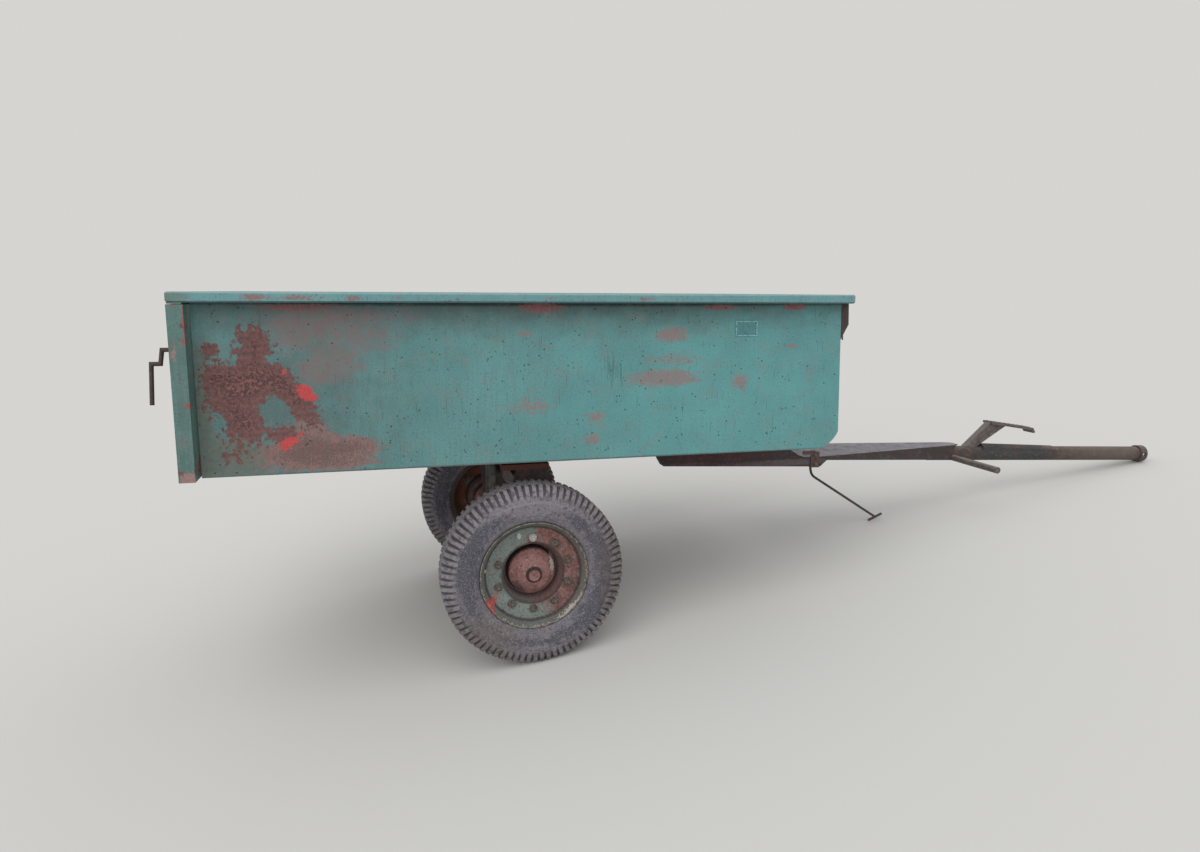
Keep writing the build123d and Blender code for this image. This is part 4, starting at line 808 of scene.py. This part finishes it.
class Workshop:
    """Makes finishes, repeats shapes with Geometry Nodes, and fits each piece to the trailer."""

    ring_seed = 7
    row_seed = 3

    def __init__(self, level: LevelFrame) -> None:
        """Set up the shared trees.

        Args:
            level: the trailer's level frame.
        """
        self.level = level
        self.made: dict[str, bpy.types.Material] = {}
        self.ring_tree = self._ring_tree()
        self.row_tree = self._row_tree()

    def finish(self, finish: WeatheredFinish) -> bpy.types.Material:
        """Return a finish's material, built once."""
        if finish.title not in self.made:
            self.made[finish.title] = finish.make(self.level)
        return self.made[finish.title]

    def dress(self, node: str, thing: bpy.types.Object) -> None:
        """Give a CAD node its weathered finish.

        Args:
            node: the node's name.
            thing: the node's object.
        """
        key = node if node in NODE_FINISH else node.rsplit("_", 1)[0]
        finish = NODE_FINISH[key]
        thing.data.materials.clear()
        thing.data.materials.append(self.finish(finish))
        LOG.info("%s wears %s", node, finish.title)

    def fit(self, mesh: bpy.types.Mesh, name: str, body: str, slot: str, replaced: Sequence[str] = (),
            sharp: float = 38.0) -> bpy.types.Object:
        """Turn a mesh in level millimetres into a finished piece that rides on a body.

        Args:
            mesh: the mesh, with its material.
            name: the piece's name.
            body: the body that carries it.
            slot: the record's material slot; not used.
            replaced: CAD nodes that the piece stands for.
            sharp: edges that turn by more degrees than this stay crisp.

        Returns:
            The piece.
        """
        mesh.transform(self.level.matrix @ Matrix.Scale(MM, 4))
        mesh.name = name
        mesh.polygons.foreach_set("use_smooth", [True] * len(mesh.polygons))
        mesh.set_sharp_from_angle(angle=math.radians(sharp))
        piece = bpy.data.objects.new(name, mesh)
        bpy.context.scene.collection.objects.link(piece)
        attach(piece, body)
        if replaced:
            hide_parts(*replaced)
        LOG.info("%s on %s: %d faces", name, body, len(mesh.polygons))
        return piece

    def repeat(self, mesh: bpy.types.Mesh, tree: bpy.types.NodeTree, finish: WeatheredFinish,
               **values: Any) -> bpy.types.Mesh:
        """Repeat a shape with one of the trees.

        Args:
            mesh: the shape.
            tree: the ring or the row tree.
            finish: what the copies wear.
            values: the tree's inputs by name, with _ for a space.

        Returns:
            The copies as one plain mesh.
        """
        holder = bpy.data.objects.new("repeat", mesh)
        bpy.context.scene.collection.objects.link(holder)
        modifier = holder.modifiers.new("repeat", "NODES")
        modifier.node_group = tree
        wanted = {name.replace("_", " "): value for name, value in values.items()}
        wanted["Finish"] = self.finish(finish)
        for item in tree.interface.items_tree:
            if item.in_out == "INPUT" and item.name in wanted:
                modifier[item.identifier] = wanted[item.name]
        graph = bpy.context.evaluated_depsgraph_get()
        result = bpy.data.meshes.new_from_object(holder.evaluated_get(graph))
        holder.modifiers.clear()
        bpy.data.objects.remove(holder)
        return result

    def _ring_tree(self) -> bpy.types.NodeTree:
        """Build the tree that repeats a shape round the Y axis."""
        tree = self._tree("ring_of_copies", (("Count", "NodeSocketInt"), ("Start", "NodeSocketFloat"),
                                             ("Sweep", "NodeSocketFloat"), ("Missing", "NodeSocketInt"),
                                             ("Wear", "NodeSocketFloat")))
        given = add(tree, "NodeGroupInput").outputs
        index = add(tree, "GeometryNodeInputIndex").outputs[0]
        points = add(tree, "GeometryNodePoints", {"Count": given["Count"]}).outputs[0]
        gone = add(tree, "FunctionNodeCompare", {2: index, 3: given["Missing"]}, data_type="INT",
                   operation="EQUAL").outputs[0]
        step = add(tree, "ShaderNodeMath", {0: given["Sweep"], 1: given["Count"]},
                   operation="DIVIDE").outputs[0]
        angle = add(tree, "ShaderNodeMath", {0: index, 1: step, 2: given["Start"]},
                    operation="MULTIPLY_ADD").outputs[0]
        turn = add(tree, "ShaderNodeCombineXYZ", {"Y": angle}).outputs[0]
        turn = add(tree, "FunctionNodeEulerToRotation", {0: turn}).outputs[0]
        copies = add(tree, "GeometryNodeInstanceOnPoints", {
            "Points": points, "Instance": given["Geometry"], "Rotation": turn,
            "Scale": self._sizes(tree, given["Wear"], self.ring_seed)}).outputs[0]
        kept = add(tree, "GeometryNodeDeleteGeometry", {0: copies, 1: gone}, domain="INSTANCE").outputs[0]
        return self._close(tree, kept, given["Finish"])

    def _row_tree(self) -> bpy.types.NodeTree:
        """Build the tree that repeats a shape along a straight line, a little unevenly."""
        tree = self._tree("row_of_copies", (("Count", "NodeSocketInt"), ("From", "NodeSocketVector"),
                                            ("To", "NodeSocketVector"), ("Uneven", "NodeSocketFloat")))
        given = add(tree, "NodeGroupInput").outputs
        line = add(tree, "GeometryNodeMeshLine", {"Count": given["Count"], "Start Location": given["From"],
                                                  "Offset": given["To"]}, mode="END_POINTS").outputs[0]
        copies = add(tree, "GeometryNodeInstanceOnPoints", {
            "Points": line, "Instance": given["Geometry"],
            "Scale": self._sizes(tree, given["Uneven"], self.row_seed)}).outputs[0]
        return self._close(tree, copies, given["Finish"])

    def _sizes(self, tree: bpy.types.NodeTree, loss: Socket, seed: int) -> Socket:
        """Draw each copy's size, between its full size and a little less."""
        least = add(tree, "ShaderNodeMath", {0: 1.0, 1: loss}, operation="SUBTRACT").outputs[0]
        return add(tree, "FunctionNodeRandomValue", {2: least, 3: 1.0, "Seed": seed},
                   data_type="FLOAT").outputs[1]

    def _tree(self, name: str, inputs: Sequence[tuple[str, str]]) -> bpy.types.NodeTree:
        """Start a Geometry Nodes tree with its named inputs."""
        tree = bpy.data.node_groups.new(name, "GeometryNodeTree")
        tree.interface.new_socket("Geometry", in_out="INPUT", socket_type="NodeSocketGeometry")
        for title, kind in inputs:
            tree.interface.new_socket(title, in_out="INPUT", socket_type=kind)
        tree.interface.new_socket("Finish", in_out="INPUT", socket_type="NodeSocketMaterial")
        tree.interface.new_socket("Geometry", in_out="OUTPUT", socket_type="NodeSocketGeometry")
        return tree

    def _close(self, tree: bpy.types.NodeTree, copies: Socket, finish: Socket) -> bpy.types.NodeTree:
        """End a tree in real geometry with its material."""
        real = add(tree, "GeometryNodeRealizeInstances", {0: copies}).outputs[0]
        worn = add(tree, "GeometryNodeSetMaterial", {"Geometry": real, "Material": finish}).outputs[0]
        add(tree, "NodeGroupOutput", {0: worn})
        return tree


def solid_mesh(name: str, points: Sequence[Point], faces: Sequence[Sequence[int]]) -> bpy.types.Mesh:
    """Make a closed mesh whose faces look outwards.

    Args:
        name: the mesh's name.
        points: its corners.
        faces: its faces as corner numbers.

    Returns:
        The mesh.
    """
    mesh = bpy.data.meshes.new(name)
    mesh.from_pydata([tuple(p) for p in points], [], [tuple(f) for f in faces])
    work = bmesh.new()
    work.from_mesh(mesh)
    bmesh.ops.remove_doubles(work, verts=work.verts, dist=1e-6)
    bmesh.ops.recalc_face_normals(work, faces=work.faces)
    work.to_mesh(mesh)
    work.free()
    return mesh


def lathe(name: str, profile: Profile, steps: int) -> bpy.types.Mesh:
    """Turn a closed outline of radius and Y about the Y axis into a ring.

    Args:
        name: the mesh's name.
        profile: the outline's corners, radius first.
        steps: how many sections the ring has.

    Returns:
        The ring's mesh.
    """
    count = len(profile)
    points = []
    faces = []
    for step in range(steps):
        angle = 2 * math.pi * step / steps
        points += [(r * math.cos(angle), y, r * math.sin(angle)) for r, y in profile]
        ahead = (step + 1) % steps
        for i in range(count):
            j = (i + 1) % count
            faces.append((step * count + i, step * count + j, ahead * count + j, ahead * count + i))
    return solid_mesh(name, points, faces)


def spindle(name: str, profile: Profile, sides: int, place: Matrix | None = None) -> bpy.types.Mesh:
    """Stack flat-sided sections of radius and Y along the Y axis, closed at both ends.

    Args:
        name: the mesh's name.
        profile: each section's radius and Y.
        sides: how many sides each section has, 6 for a nut.
        place: where the spindle goes.

    Returns:
        The spindle's mesh.
    """
    points = []
    for r, y in profile:
        turns = [2 * math.pi * (side + 0.5) / sides for side in range(sides)]
        points += [(r * math.cos(a), y, r * math.sin(a)) for a in turns]
    faces = [tuple(range(sides)), tuple(range(len(points) - sides, len(points)))]
    for row in range(len(profile) - 1):
        for side in range(sides):
            near = (side + 1) % sides
            faces.append((row * sides + side, row * sides + near, (row + 1) * sides + near,
                          (row + 1) * sides + side))
    mesh = solid_mesh(name, points, faces)
    mesh.transform(place or Matrix.Identity(4))
    return mesh


def strip(name: str, sections: Sequence[Sequence[Point]]) -> bpy.types.Mesh:
    """Join four-cornered sections into one closed bar.

    Args:
        name: the mesh's name.
        sections: each section's four corners in turn.

    Returns:
        The bar's mesh.
    """
    points = [corner for section in sections for corner in section]
    last = 4 * (len(sections) - 1)
    faces = [(0, 1, 2, 3), (last, last + 1, last + 2, last + 3)]
    for row in range(len(sections) - 1):
        a = 4 * row
        faces += [(a + i, a + (i + 1) % 4, a + 4 + (i + 1) % 4, a + 4 + i) for i in range(4)]
    return solid_mesh(name, points, faces)


def gathered(name: str, meshes: Sequence[bpy.types.Mesh]) -> bpy.types.Mesh:
    """Put several meshes into one, each with its own material.

    Args:
        name: the new mesh's name.
        meshes: the meshes.

    Returns:
        The gathered mesh.
    """
    work = bmesh.new()
    materials: list[bpy.types.Material] = []
    for mesh in meshes:
        start = len(work.faces)
        work.from_mesh(mesh)
        work.faces.ensure_lookup_table()
        for material in mesh.materials:
            if material not in materials:
                materials.append(material)
        for face in work.faces[start:]:
            if mesh.materials:
                face.material_index = materials.index(mesh.materials[face.material_index])
    result = bpy.data.meshes.new(name)
    work.to_mesh(result)
    work.free()
    for material in materials:
        result.materials.append(material)
    return result


@dataclass
class Wheel:
    """One wheel's tyre, nuts, lip and valve."""

    side: Side
    track: float = 1002.0
    steps: int = 160
    lugs: int = 80
    crown: float = 280.4
    tread_top: float = 287.0
    lug_half: float = 5.6
    rib_half: float = 6.5
    rib_sway: float = 3.0
    nut_ring: float = 115.0
    nuts: int = 10
    disc_y: float = 27.0
    nut_flats: float = 21.0
    nut_height: float = 11.0
    lip_radius: float = 168.4
    lip_y: float = 55.0
    valve_turn: float = 252.0
    valve_ring: float = 142.0

    def build(self, shop: Workshop) -> None:
        """Make the wheel's pieces.

        Args:
            shop: the workshop.
        """
        word = self.side.word
        body = f"wheel_{word}"
        tyre = gathered("tyre", [self._casing(shop), self._tread(shop)])
        shop.fit(self._placed(tyre), f"tyre_{word}_rubber", body, "tyre_rubber", (f"tyre_{word}",), 50)
        shop.fit(self._placed(self._nuts(shop)), f"wheel_nuts_{word}", body, "wheel_paint")
        shop.fit(self._placed(self._lip(shop)), f"wheel_lip_{word}", body, "wheel_paint")

    def _placed(self, mesh: bpy.types.Mesh) -> bpy.types.Mesh:
        """Turn a mesh made with its outer side at +Y to this side, and move it out to the track."""
        hand = self.side.value
        mesh.transform(Matrix.Translation((0, hand * self.track / 2, 0)) @ Facing.out(hand).value)
        return mesh

    def _casing(self, shop: Workshop) -> bpy.types.Mesh:
        """Turn the tyre's casing, with thin rings by the bead and a step under the shoulder."""
        outer = [(152.2, 21.5), (171.4, 50.6), (173.0, 53.4), (176.0, 55.8), (178.2, 57.6), (179.2, 58.9),
                 (180.4, 58.6), (183.0, 60.2), (184.2, 61.6), (185.4, 61.2), (190.0, 63.4), (196.0, 65.4),
                 (204.0, 67.2), (212.0, 68.4), (221.0, 69.0), (230.0, 69.1), (231.4, 69.7), (233.4, 69.6),
                 (235.0, 68.8), (241.0, 68.0), (248.0, 66.0), (256.0, 62.4), (264.0, 57.8), (271.0, 52.8),
                 (276.4, 47.8), (self.crown, 41.0), (self.crown + 0.5, 21.0)]
        outline = outer + [(r, -y) for r, y in reversed(outer)]
        mesh = lathe("casing", outline, self.steps)
        mesh.materials.append(shop.finish(TYRE_CASING))
        return mesh

    def _tread(self, shop: Workshop) -> bpy.types.Mesh:
        """Repeat one pitch of the tread: a long lug down each shoulder and two swaying ribs."""
        pitch = 2 * math.pi * self.tread_top / self.lugs
        # Down the shoulder: the bar's outer y and radius, its foot's y and radius, and how much it widens
        down = ((23.0, self.tread_top, 23.0, 278.0, 0.0), (43.0, 286.9, 42.0, 277.0, 0.0),
                (50.5, 284.0, 47.0, 273.0, 0.1), (57.0, 275.5, 52.0, 267.0, 0.3),
                (62.6, 265.0, 57.0, 259.0, 0.5), (67.0, 253.5, 61.0, 250.0, 0.6),
                (69.4, 243.0, 64.0, 240.0, -0.6))
        lugs = []
        for hand, shift in ((1, 0.0), (-1, pitch / 2)):
            sections = []
            for y, r, base_y, base_r, wider in down:
                half = self.lug_half + wider
                sections.append([(shift - half, hand * y, r), (shift + half, hand * y, r),
                                 (shift + half + 0.8, hand * base_y, base_r),
                                 (shift - half - 0.8, hand * base_y, base_r)])
            lugs.append(strip("lug", sections))
        foot = self.crown - 3
        for hand in (1, -1):
            middle = hand * (self.rib_half + 2.6)
            rib = []
            for x, sway in ((-pitch / 2, 0.0), (0.0, hand * self.rib_sway), (pitch / 2, 0.0)):
                y0, y1 = middle + sway - self.rib_half, middle + sway + self.rib_half
                drop = self.tread_top - x * x / (2 * self.tread_top)
                rib.append([(x, y0, drop), (x, y1, drop), (x, y1, foot), (x, y0, foot)])
            lugs.append(strip("rib", rib))
        return shop.repeat(gathered("pitch", lugs), shop.ring_tree, TYRE_LUGS, Count=self.lugs,
                           Sweep=2 * math.pi, Missing=-1, Wear=0.002)

    def _nuts(self, shop: Workshop) -> bpy.types.Mesh:
        """Ring the disc with hexagon nuts on studs; the near wheel has lost one."""
        corner = self.nut_flats / 2 / math.cos(math.pi / 6)
        top = self.disc_y + self.nut_height
        nut = spindle("nut", [(corner, self.disc_y - 1), (corner, top - 2), (corner * 0.86, top)], 6)
        stud = spindle("stud", [(5.5, top - 1), (5.5, top + 5), (4.4, top + 6.5)], 10)
        washer = spindle("washer", [(14.0, self.disc_y - 1), (14.0, self.disc_y + 2),
                                    (13.0, self.disc_y + 2.6)], 14)
        one = gathered("one_nut", [nut, stud, washer])
        one.transform(Matrix.Translation((0, 0, self.nut_ring)))
        lost = 1 if self.side is Side.RIGHT else -1
        return shop.repeat(one, shop.ring_tree, NUT_STEEL, Count=self.nuts, Sweep=2 * math.pi, Missing=lost)

    def _lip(self, shop: Workshop) -> bpy.types.Mesh:
        """Turn the rim's rolled lip, and set the valve between two nuts."""
        lip = [(self.lip_radius - 2.0, self.lip_y - 0.5), (self.lip_radius - 1.6, self.lip_y + 1.0),
               (self.lip_radius, self.lip_y + 1.7), (self.lip_radius + 1.5, self.lip_y + 1.0),
               (self.lip_radius + 1.9, self.lip_y - 0.5)]
        mesh = lathe("lip", lip, self.steps)
        valve = spindle("valve", [(5.0, self.disc_y - 1), (5.0, self.disc_y + 9), (3.6, self.disc_y + 11),
                                  (3.6, self.disc_y + 20), (2.4, self.disc_y + 21)], 10)
        valve.transform(Matrix.Rotation(math.radians(self.valve_turn), 4, "Y")
                        @ Matrix.Translation((0, 0, self.valve_ring)))
        mesh = gathered("lip", [mesh, valve])
        mesh.materials.append(shop.finish(LIP_STEEL))
        return mesh


@dataclass(frozen=True)
class Seam:
    """A row of weld beads from one end to the other."""

    start: Point
    end: Point
    bead: float = 4.0

    def mirrored(self) -> "Seam":
        """The same seam on the other side."""
        return Seam((self.start[0], -self.start[1], self.start[2]), (self.end[0], -self.end[1], self.end[2]),
                    self.bead)


@dataclass(frozen=True)
class BoltRow:
    """Hexagon bolt heads in a row, all facing one way."""

    start: Point
    end: Point
    count: int
    facing: Facing
    flats: float = 17.0
    height: float = 7.0


class Fixings:
    """Makes weld seams and rows of bolts or rivets for any sub-assembly."""

    bead_profile = ((0.5, -1.0), (0.95, -0.35), (0.95, 0.35), (0.5, 1.0))
    bead_share = 0.8
    bead_pitch = 1.15
    bead_uneven = 0.3

    def __init__(self, shop: Workshop) -> None:
        """Keep the workshop."""
        self.shop = shop

    def seams(self, seams: Sequence[Seam]) -> bpy.types.Mesh:
        """Lay weld beads along seams, and along their mirror images on the other side.

        Args:
            seams: one side's seams.

        Returns:
            All the beads as one mesh.
        """
        laid = []
        for seam in (*seams, *(seam.mirrored() for seam in seams)):
            run = Vector(seam.end) - Vector(seam.start)
            half = seam.bead * self.bead_share
            bead = spindle("bead", [(r * half, y * half) for r, y in self.bead_profile], 6)
            bead.transform(Vector((0, 1, 0)).rotation_difference(run).to_matrix().to_4x4())
            count = max(2, round(run.length / (seam.bead * self.bead_pitch)))
            laid.append(self.shop.repeat(bead, self.shop.row_tree, WELD_STEEL, Count=count,
                                         From=seam.start, To=seam.end, Uneven=self.bead_uneven))
        return gathered("seams", laid)

    def bolts(self, rows: Sequence[BoltRow]) -> bpy.types.Mesh:
        """Set bolt heads in rows, each with its washer.

        Args:
            rows: the rows.

        Returns:
            All the heads as one mesh.
        """
        set_in = []
        for row in rows:
            corner = row.flats / 2 / math.cos(math.pi / 6)
            head = spindle("head", [(corner, 0.5), (corner, row.height - 1.5),
                                    (corner * 0.85, row.height)], 6)
            washer = spindle("washer", [(corner * 1.3, -0.5), (corner * 1.3, 1.4)], 14)
            set_in.append(self._row(gathered("bolt", [head, washer]), row))
        return gathered("bolts", set_in)

    def rivets(self, rows: Sequence[BoltRow], head: float) -> bpy.types.Mesh:
        """Set domed rivets in rows.

        Args:
            rows: the rows.
            head: a rivet head's radius.

        Returns:
            All the rivets as one mesh.
        """
        set_in = []
        for row in rows:
            dome = spindle("rivet", [(head, -0.3), (head * 0.92, head * 0.28),
                                     (head * 0.55, head * 0.52)], 10)
            set_in.append(self._row(dome, row))
        return gathered("rivets", set_in)

    def _row(self, head: bpy.types.Mesh, row: BoltRow) -> bpy.types.Mesh:
        """Turn a head the way that its row faces, and repeat it along the row."""
        head.transform(row.facing.value)
        return self.shop.repeat(head, self.shop.row_tree, NUT_STEEL, Count=row.count, From=row.start,
                                To=row.end, Uneven=0.0)


@dataclass
class Bed:
    """The bed's small parts: plate rivets and border, the rim rail's drip edge, and welds."""

    half_width: float = 560.0
    floor_z: float = 360.0
    plate: tuple[float, float, float, float] = (652.0, 716.0, 739.0, 777.0)
    plate_y: float = -561.5
    bearer_ys: tuple[float, float] = (340.0, 380.0)
    stitch: float = 90.0
    stitch_xs: tuple[float, ...] = (-880.0, -640.0, -360.0, -120.0, 130.0, 400.0, 640.0, 840.0)
    gusset: tuple[float, float] = (722.0, 834.0)
    panel_front: float = 1027.5
    border: tuple[float, float, float, float] = (647.0, 721.0, 734.0, 782.0)
    border_width: float = 4.0
    drip_xs: tuple[float, float] = (-968.0, -930.0)
    drip_zs: tuple[float, float] = (833.4, 837.6)
    drip_half: float = 612.0

    def build(self, fixings: Fixings) -> None:
        """Make the bed's pieces.

        Args:
            fixings: the maker of seams and bolts.
        """
        rear, front, low, high = self.plate
        rows = [BoltRow((rear, self.plate_y, z), (front, self.plate_y, z), 2, Facing.RIGHT)
                for z in (low, high)]
        fixings.shop.fit(fixings.rivets(rows, 3.0), "plate_rivets", "bed", "green_paint")
        fixings.shop.fit(self._border(fixings.shop), "plate_border", "bed", "green_paint")
        fixings.shop.fit(self._drip_edge(fixings.shop), "rail_drip_edge", "bed", "green_paint")
        seams = []
        for y in self.bearer_ys:
            away = -1 if y == self.bearer_ys[0] else 1
            seams += [Seam((x, y + away, self.floor_z - 1), (x + self.stitch, y + away, self.floor_z - 1), 5)
                      for x in self.stitch_xs]
        seams.append(Seam((self.panel_front - 1, self.half_width - 0.5, self.gusset[0]),
                          (self.panel_front - 9, self.half_width - 0.5, self.gusset[1])))
        fixings.shop.fit(fixings.seams(seams), "bed_welds", "bed", "underside_paint")

    def _border(self, shop: Workshop) -> bpy.types.Mesh:
        """Raise a narrow rubbed border round the blank plate."""
        rear, front, low, high = self.border
        corners = ((rear, low), (front, low), (front, high), (rear, high))
        rings = []
        for inset, rise in ((0.0, -0.3), (0.0, 1.0), (0.8, 1.6), (self.border_width - 0.8, 1.6),
                            (self.border_width, 1.0), (self.border_width, -0.3)):
            rings.append([(x + inset * (1 if x == rear else -1), self.plate_y - rise,
                           z + inset * (1 if z == low else -1)) for x, z in corners])
        points = [point for ring in rings for point in ring]
        count = len(rings)
        faces = []
        for row in range(count):
            ahead = (row + 1) % count
            faces += [(row * 4 + i, row * 4 + (i + 1) % 4, ahead * 4 + (i + 1) % 4, ahead * 4 + i)
                      for i in range(4)]
        mesh = solid_mesh("border", points, faces)
        mesh.materials.append(shop.finish(PLATE_EDGE))
        return mesh

    def _drip_edge(self, shop: Workshop) -> bpy.types.Mesh:
        """Fold the rim rail's rear edge down over the tailgate's top."""
        rear, front = self.drip_xs
        low, high = self.drip_zs
        sections = [[(rear, y, high), (front, y, high), (front - 2, y, low), (rear + 2, y, low)]
                    for y in (-self.drip_half, 0.0, self.drip_half)]
        mesh = strip("drip_edge", sections)
        mesh.materials.append(shop.finish(RIM_RAIL))
        return mesh


@dataclass
class Tailgate:
    """The tailgate's weld seams and the nuts on its hinge pins."""

    rib_ys: tuple[float, float] = (370.0, 430.0)
    rib_zs: tuple[float, float] = (372.0, 820.0)
    back_x: float = -932.0
    ear_ys: tuple[float, float] = (369.0, 431.0)

    def build(self, fixings: Fixings) -> None:
        """Make the tailgate's pieces.

        Args:
            fixings: the maker of seams and bolts.
        """
        low, high = self.rib_zs
        seams = [Seam((self.back_x, y + away, low), (self.back_x, y + away, high), 4)
                 for y, away in zip(self.rib_ys, (-1, 1))]
        fixings.shop.fit(fixings.seams(seams), "tailgate_welds", "tailgate", "green_paint")
        pin = fixings.shop.level.gate_pin
        rows = []
        for hand in (1, -1):
            for y, facing in ((hand * self.ear_ys[1], Facing.out(hand)),
                              (hand * self.ear_ys[0], Facing.out(-hand))):
                rows.append(BoltRow((pin.x, y, pin.z), (pin.x, y, pin.z), 1, facing, 11.0, 6.0))
        fixings.shop.fit(fixings.bolts(rows), "hinge_pin_nuts", "bed", "rusty_steel")


@dataclass
class Chassis:
    """The chassis's welds, strap bolts, pedal treads and the drawbar's rings of weld."""

    axle_top: float = 22.5
    axle_half: float = 21.0
    pedestal_y: float = 382.4
    post_ys: tuple[float, float] = (14.4, 50.6)
    strap_y: float = 151.0
    strap_x: float = 1184.0
    strap_zs: tuple[float, float] = (214.0, 248.0)
    pipe_radius: float = 31.0
    pipe_start: tuple[float, float] = (1800.0, 200.7)
    pipe_slope: float = 2.68
    pedal_start: tuple[float, float] = (2108.0, 326.2)
    pedal_slope: float = 9.1
    pedal_run: float = 186.0
    pedal_treads: int = 9
    pedal_half: float = 27.0
    weld_xs: tuple[float, float, float] = (2059.5, 2437.5, 2913.0)
    weld_sweeps: tuple[float, float, float] = (130.0, 130.0, 360.0)
    weld_pitch: float = 4.6

    def build(self, fixings: Fixings) -> None:
        """Make the chassis's pieces.

        Args:
            fixings: the maker of seams and bolts.
        """
        shop = fixings.shop
        top = self.axle_top + 0.5
        seams = [Seam((-self.axle_half, y, top), (self.axle_half, y, top), 5)
                 for y in (self.pedestal_y, *self.post_ys)]
        shop.fit(fixings.seams(seams), "axle_welds", "chassis", "underside_paint")
        low, high = self.strap_zs
        rows = [BoltRow((self.strap_x, hand * self.strap_y, low), (self.strap_x, hand * self.strap_y, high),
                        2, Facing.out(hand), 13.0, 6.0) for hand in (1, -1)]
        shop.fit(fixings.bolts(rows), "strap_bolts", "chassis", "rusty_steel")
        rings = [self._pipe_weld(shop, x, sweep) for x, sweep in zip(self.weld_xs, self.weld_sweeps)]
        shop.fit(gathered("pipe_welds", rings), "pipe_welds", "chassis", "rusty_steel")
        shop.fit(self._treads(shop), "pedal_treads", "chassis", "rusty_steel")

    def _pipe_weld(self, shop: Workshop, x: float, sweep: float) -> bpy.types.Mesh:
        """Lay beads round the pipe over its top.

        Args:
            shop: the workshop.
            x: where along the drawbar.
            sweep: how far round the beads go, in degrees.

        Returns:
            The beads' mesh.
        """
        bead = spindle("bead", [(1.8, -2.6), (3.2, -1.0), (3.2, 1.0), (1.8, 2.6)], 6,
                       Matrix.Translation((0, 0, self.pipe_radius + 0.6)))
        count = round(math.radians(sweep) * self.pipe_radius / self.weld_pitch)
        mesh = shop.repeat(bead, shop.ring_tree, WELD_STEEL, Count=count, Start=-math.radians(sweep) / 2,
                           Sweep=math.radians(sweep), Missing=-1, Wear=0.03)
        slope = math.radians(self.pipe_slope)
        axis = Vector((x, 0, self.pipe_start[1] - (x - self.pipe_start[0]) * math.tan(slope)))
        along = Matrix.Rotation(slope, 4, "Y") @ Matrix.Rotation(-math.pi / 2, 4, "Z")
        mesh.transform(Matrix.Translation(axis) @ along)
        return mesh

    def _treads(self, shop: Workshop) -> bpy.types.Mesh:
        """Repeat the raised bars that keep a foot from slipping off the pedal."""
        lean = math.radians(self.pedal_slope)
        sections = []
        for y in (-self.pedal_half, self.pedal_half):
            sections.append([(-3.0, y, -0.5), (-1.6, y, 1.9), (1.6, y, 1.9), (3.0, y, -0.5)])
        bar = strip("tread", sections)
        bar.transform(Matrix.Rotation(lean, 4, "Y"))
        x, z = self.pedal_start
        end = (x + self.pedal_run, 0.0, z - self.pedal_run * math.tan(lean))
        return shop.repeat(bar, shop.row_tree, PEG_STEEL, Count=self.pedal_treads, From=(x, 0.0, z), To=end,
                           Uneven=0.0)


def main() -> None:
    """Load the frame, then build the camera, the studio, the finishes and every piece."""
    logging.basicConfig(level=logging.INFO, format="%(name)s: %(message)s")
    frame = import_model()
    level = LevelFrame(frame["joints"])
    PhotoCamera().build(level)
    Studio().build()
    shop = Workshop(level)
    for node, thing in frame["nodes"].items():
        shop.dress(node, thing)
    for side in Side:
        Wheel(side).build(shop)
    fixings = Fixings(shop)
    Bed().build(fixings)
    Tailgate().build(fixings)
    Chassis().build(fixings)


if __name__ == "__main__":
    main()
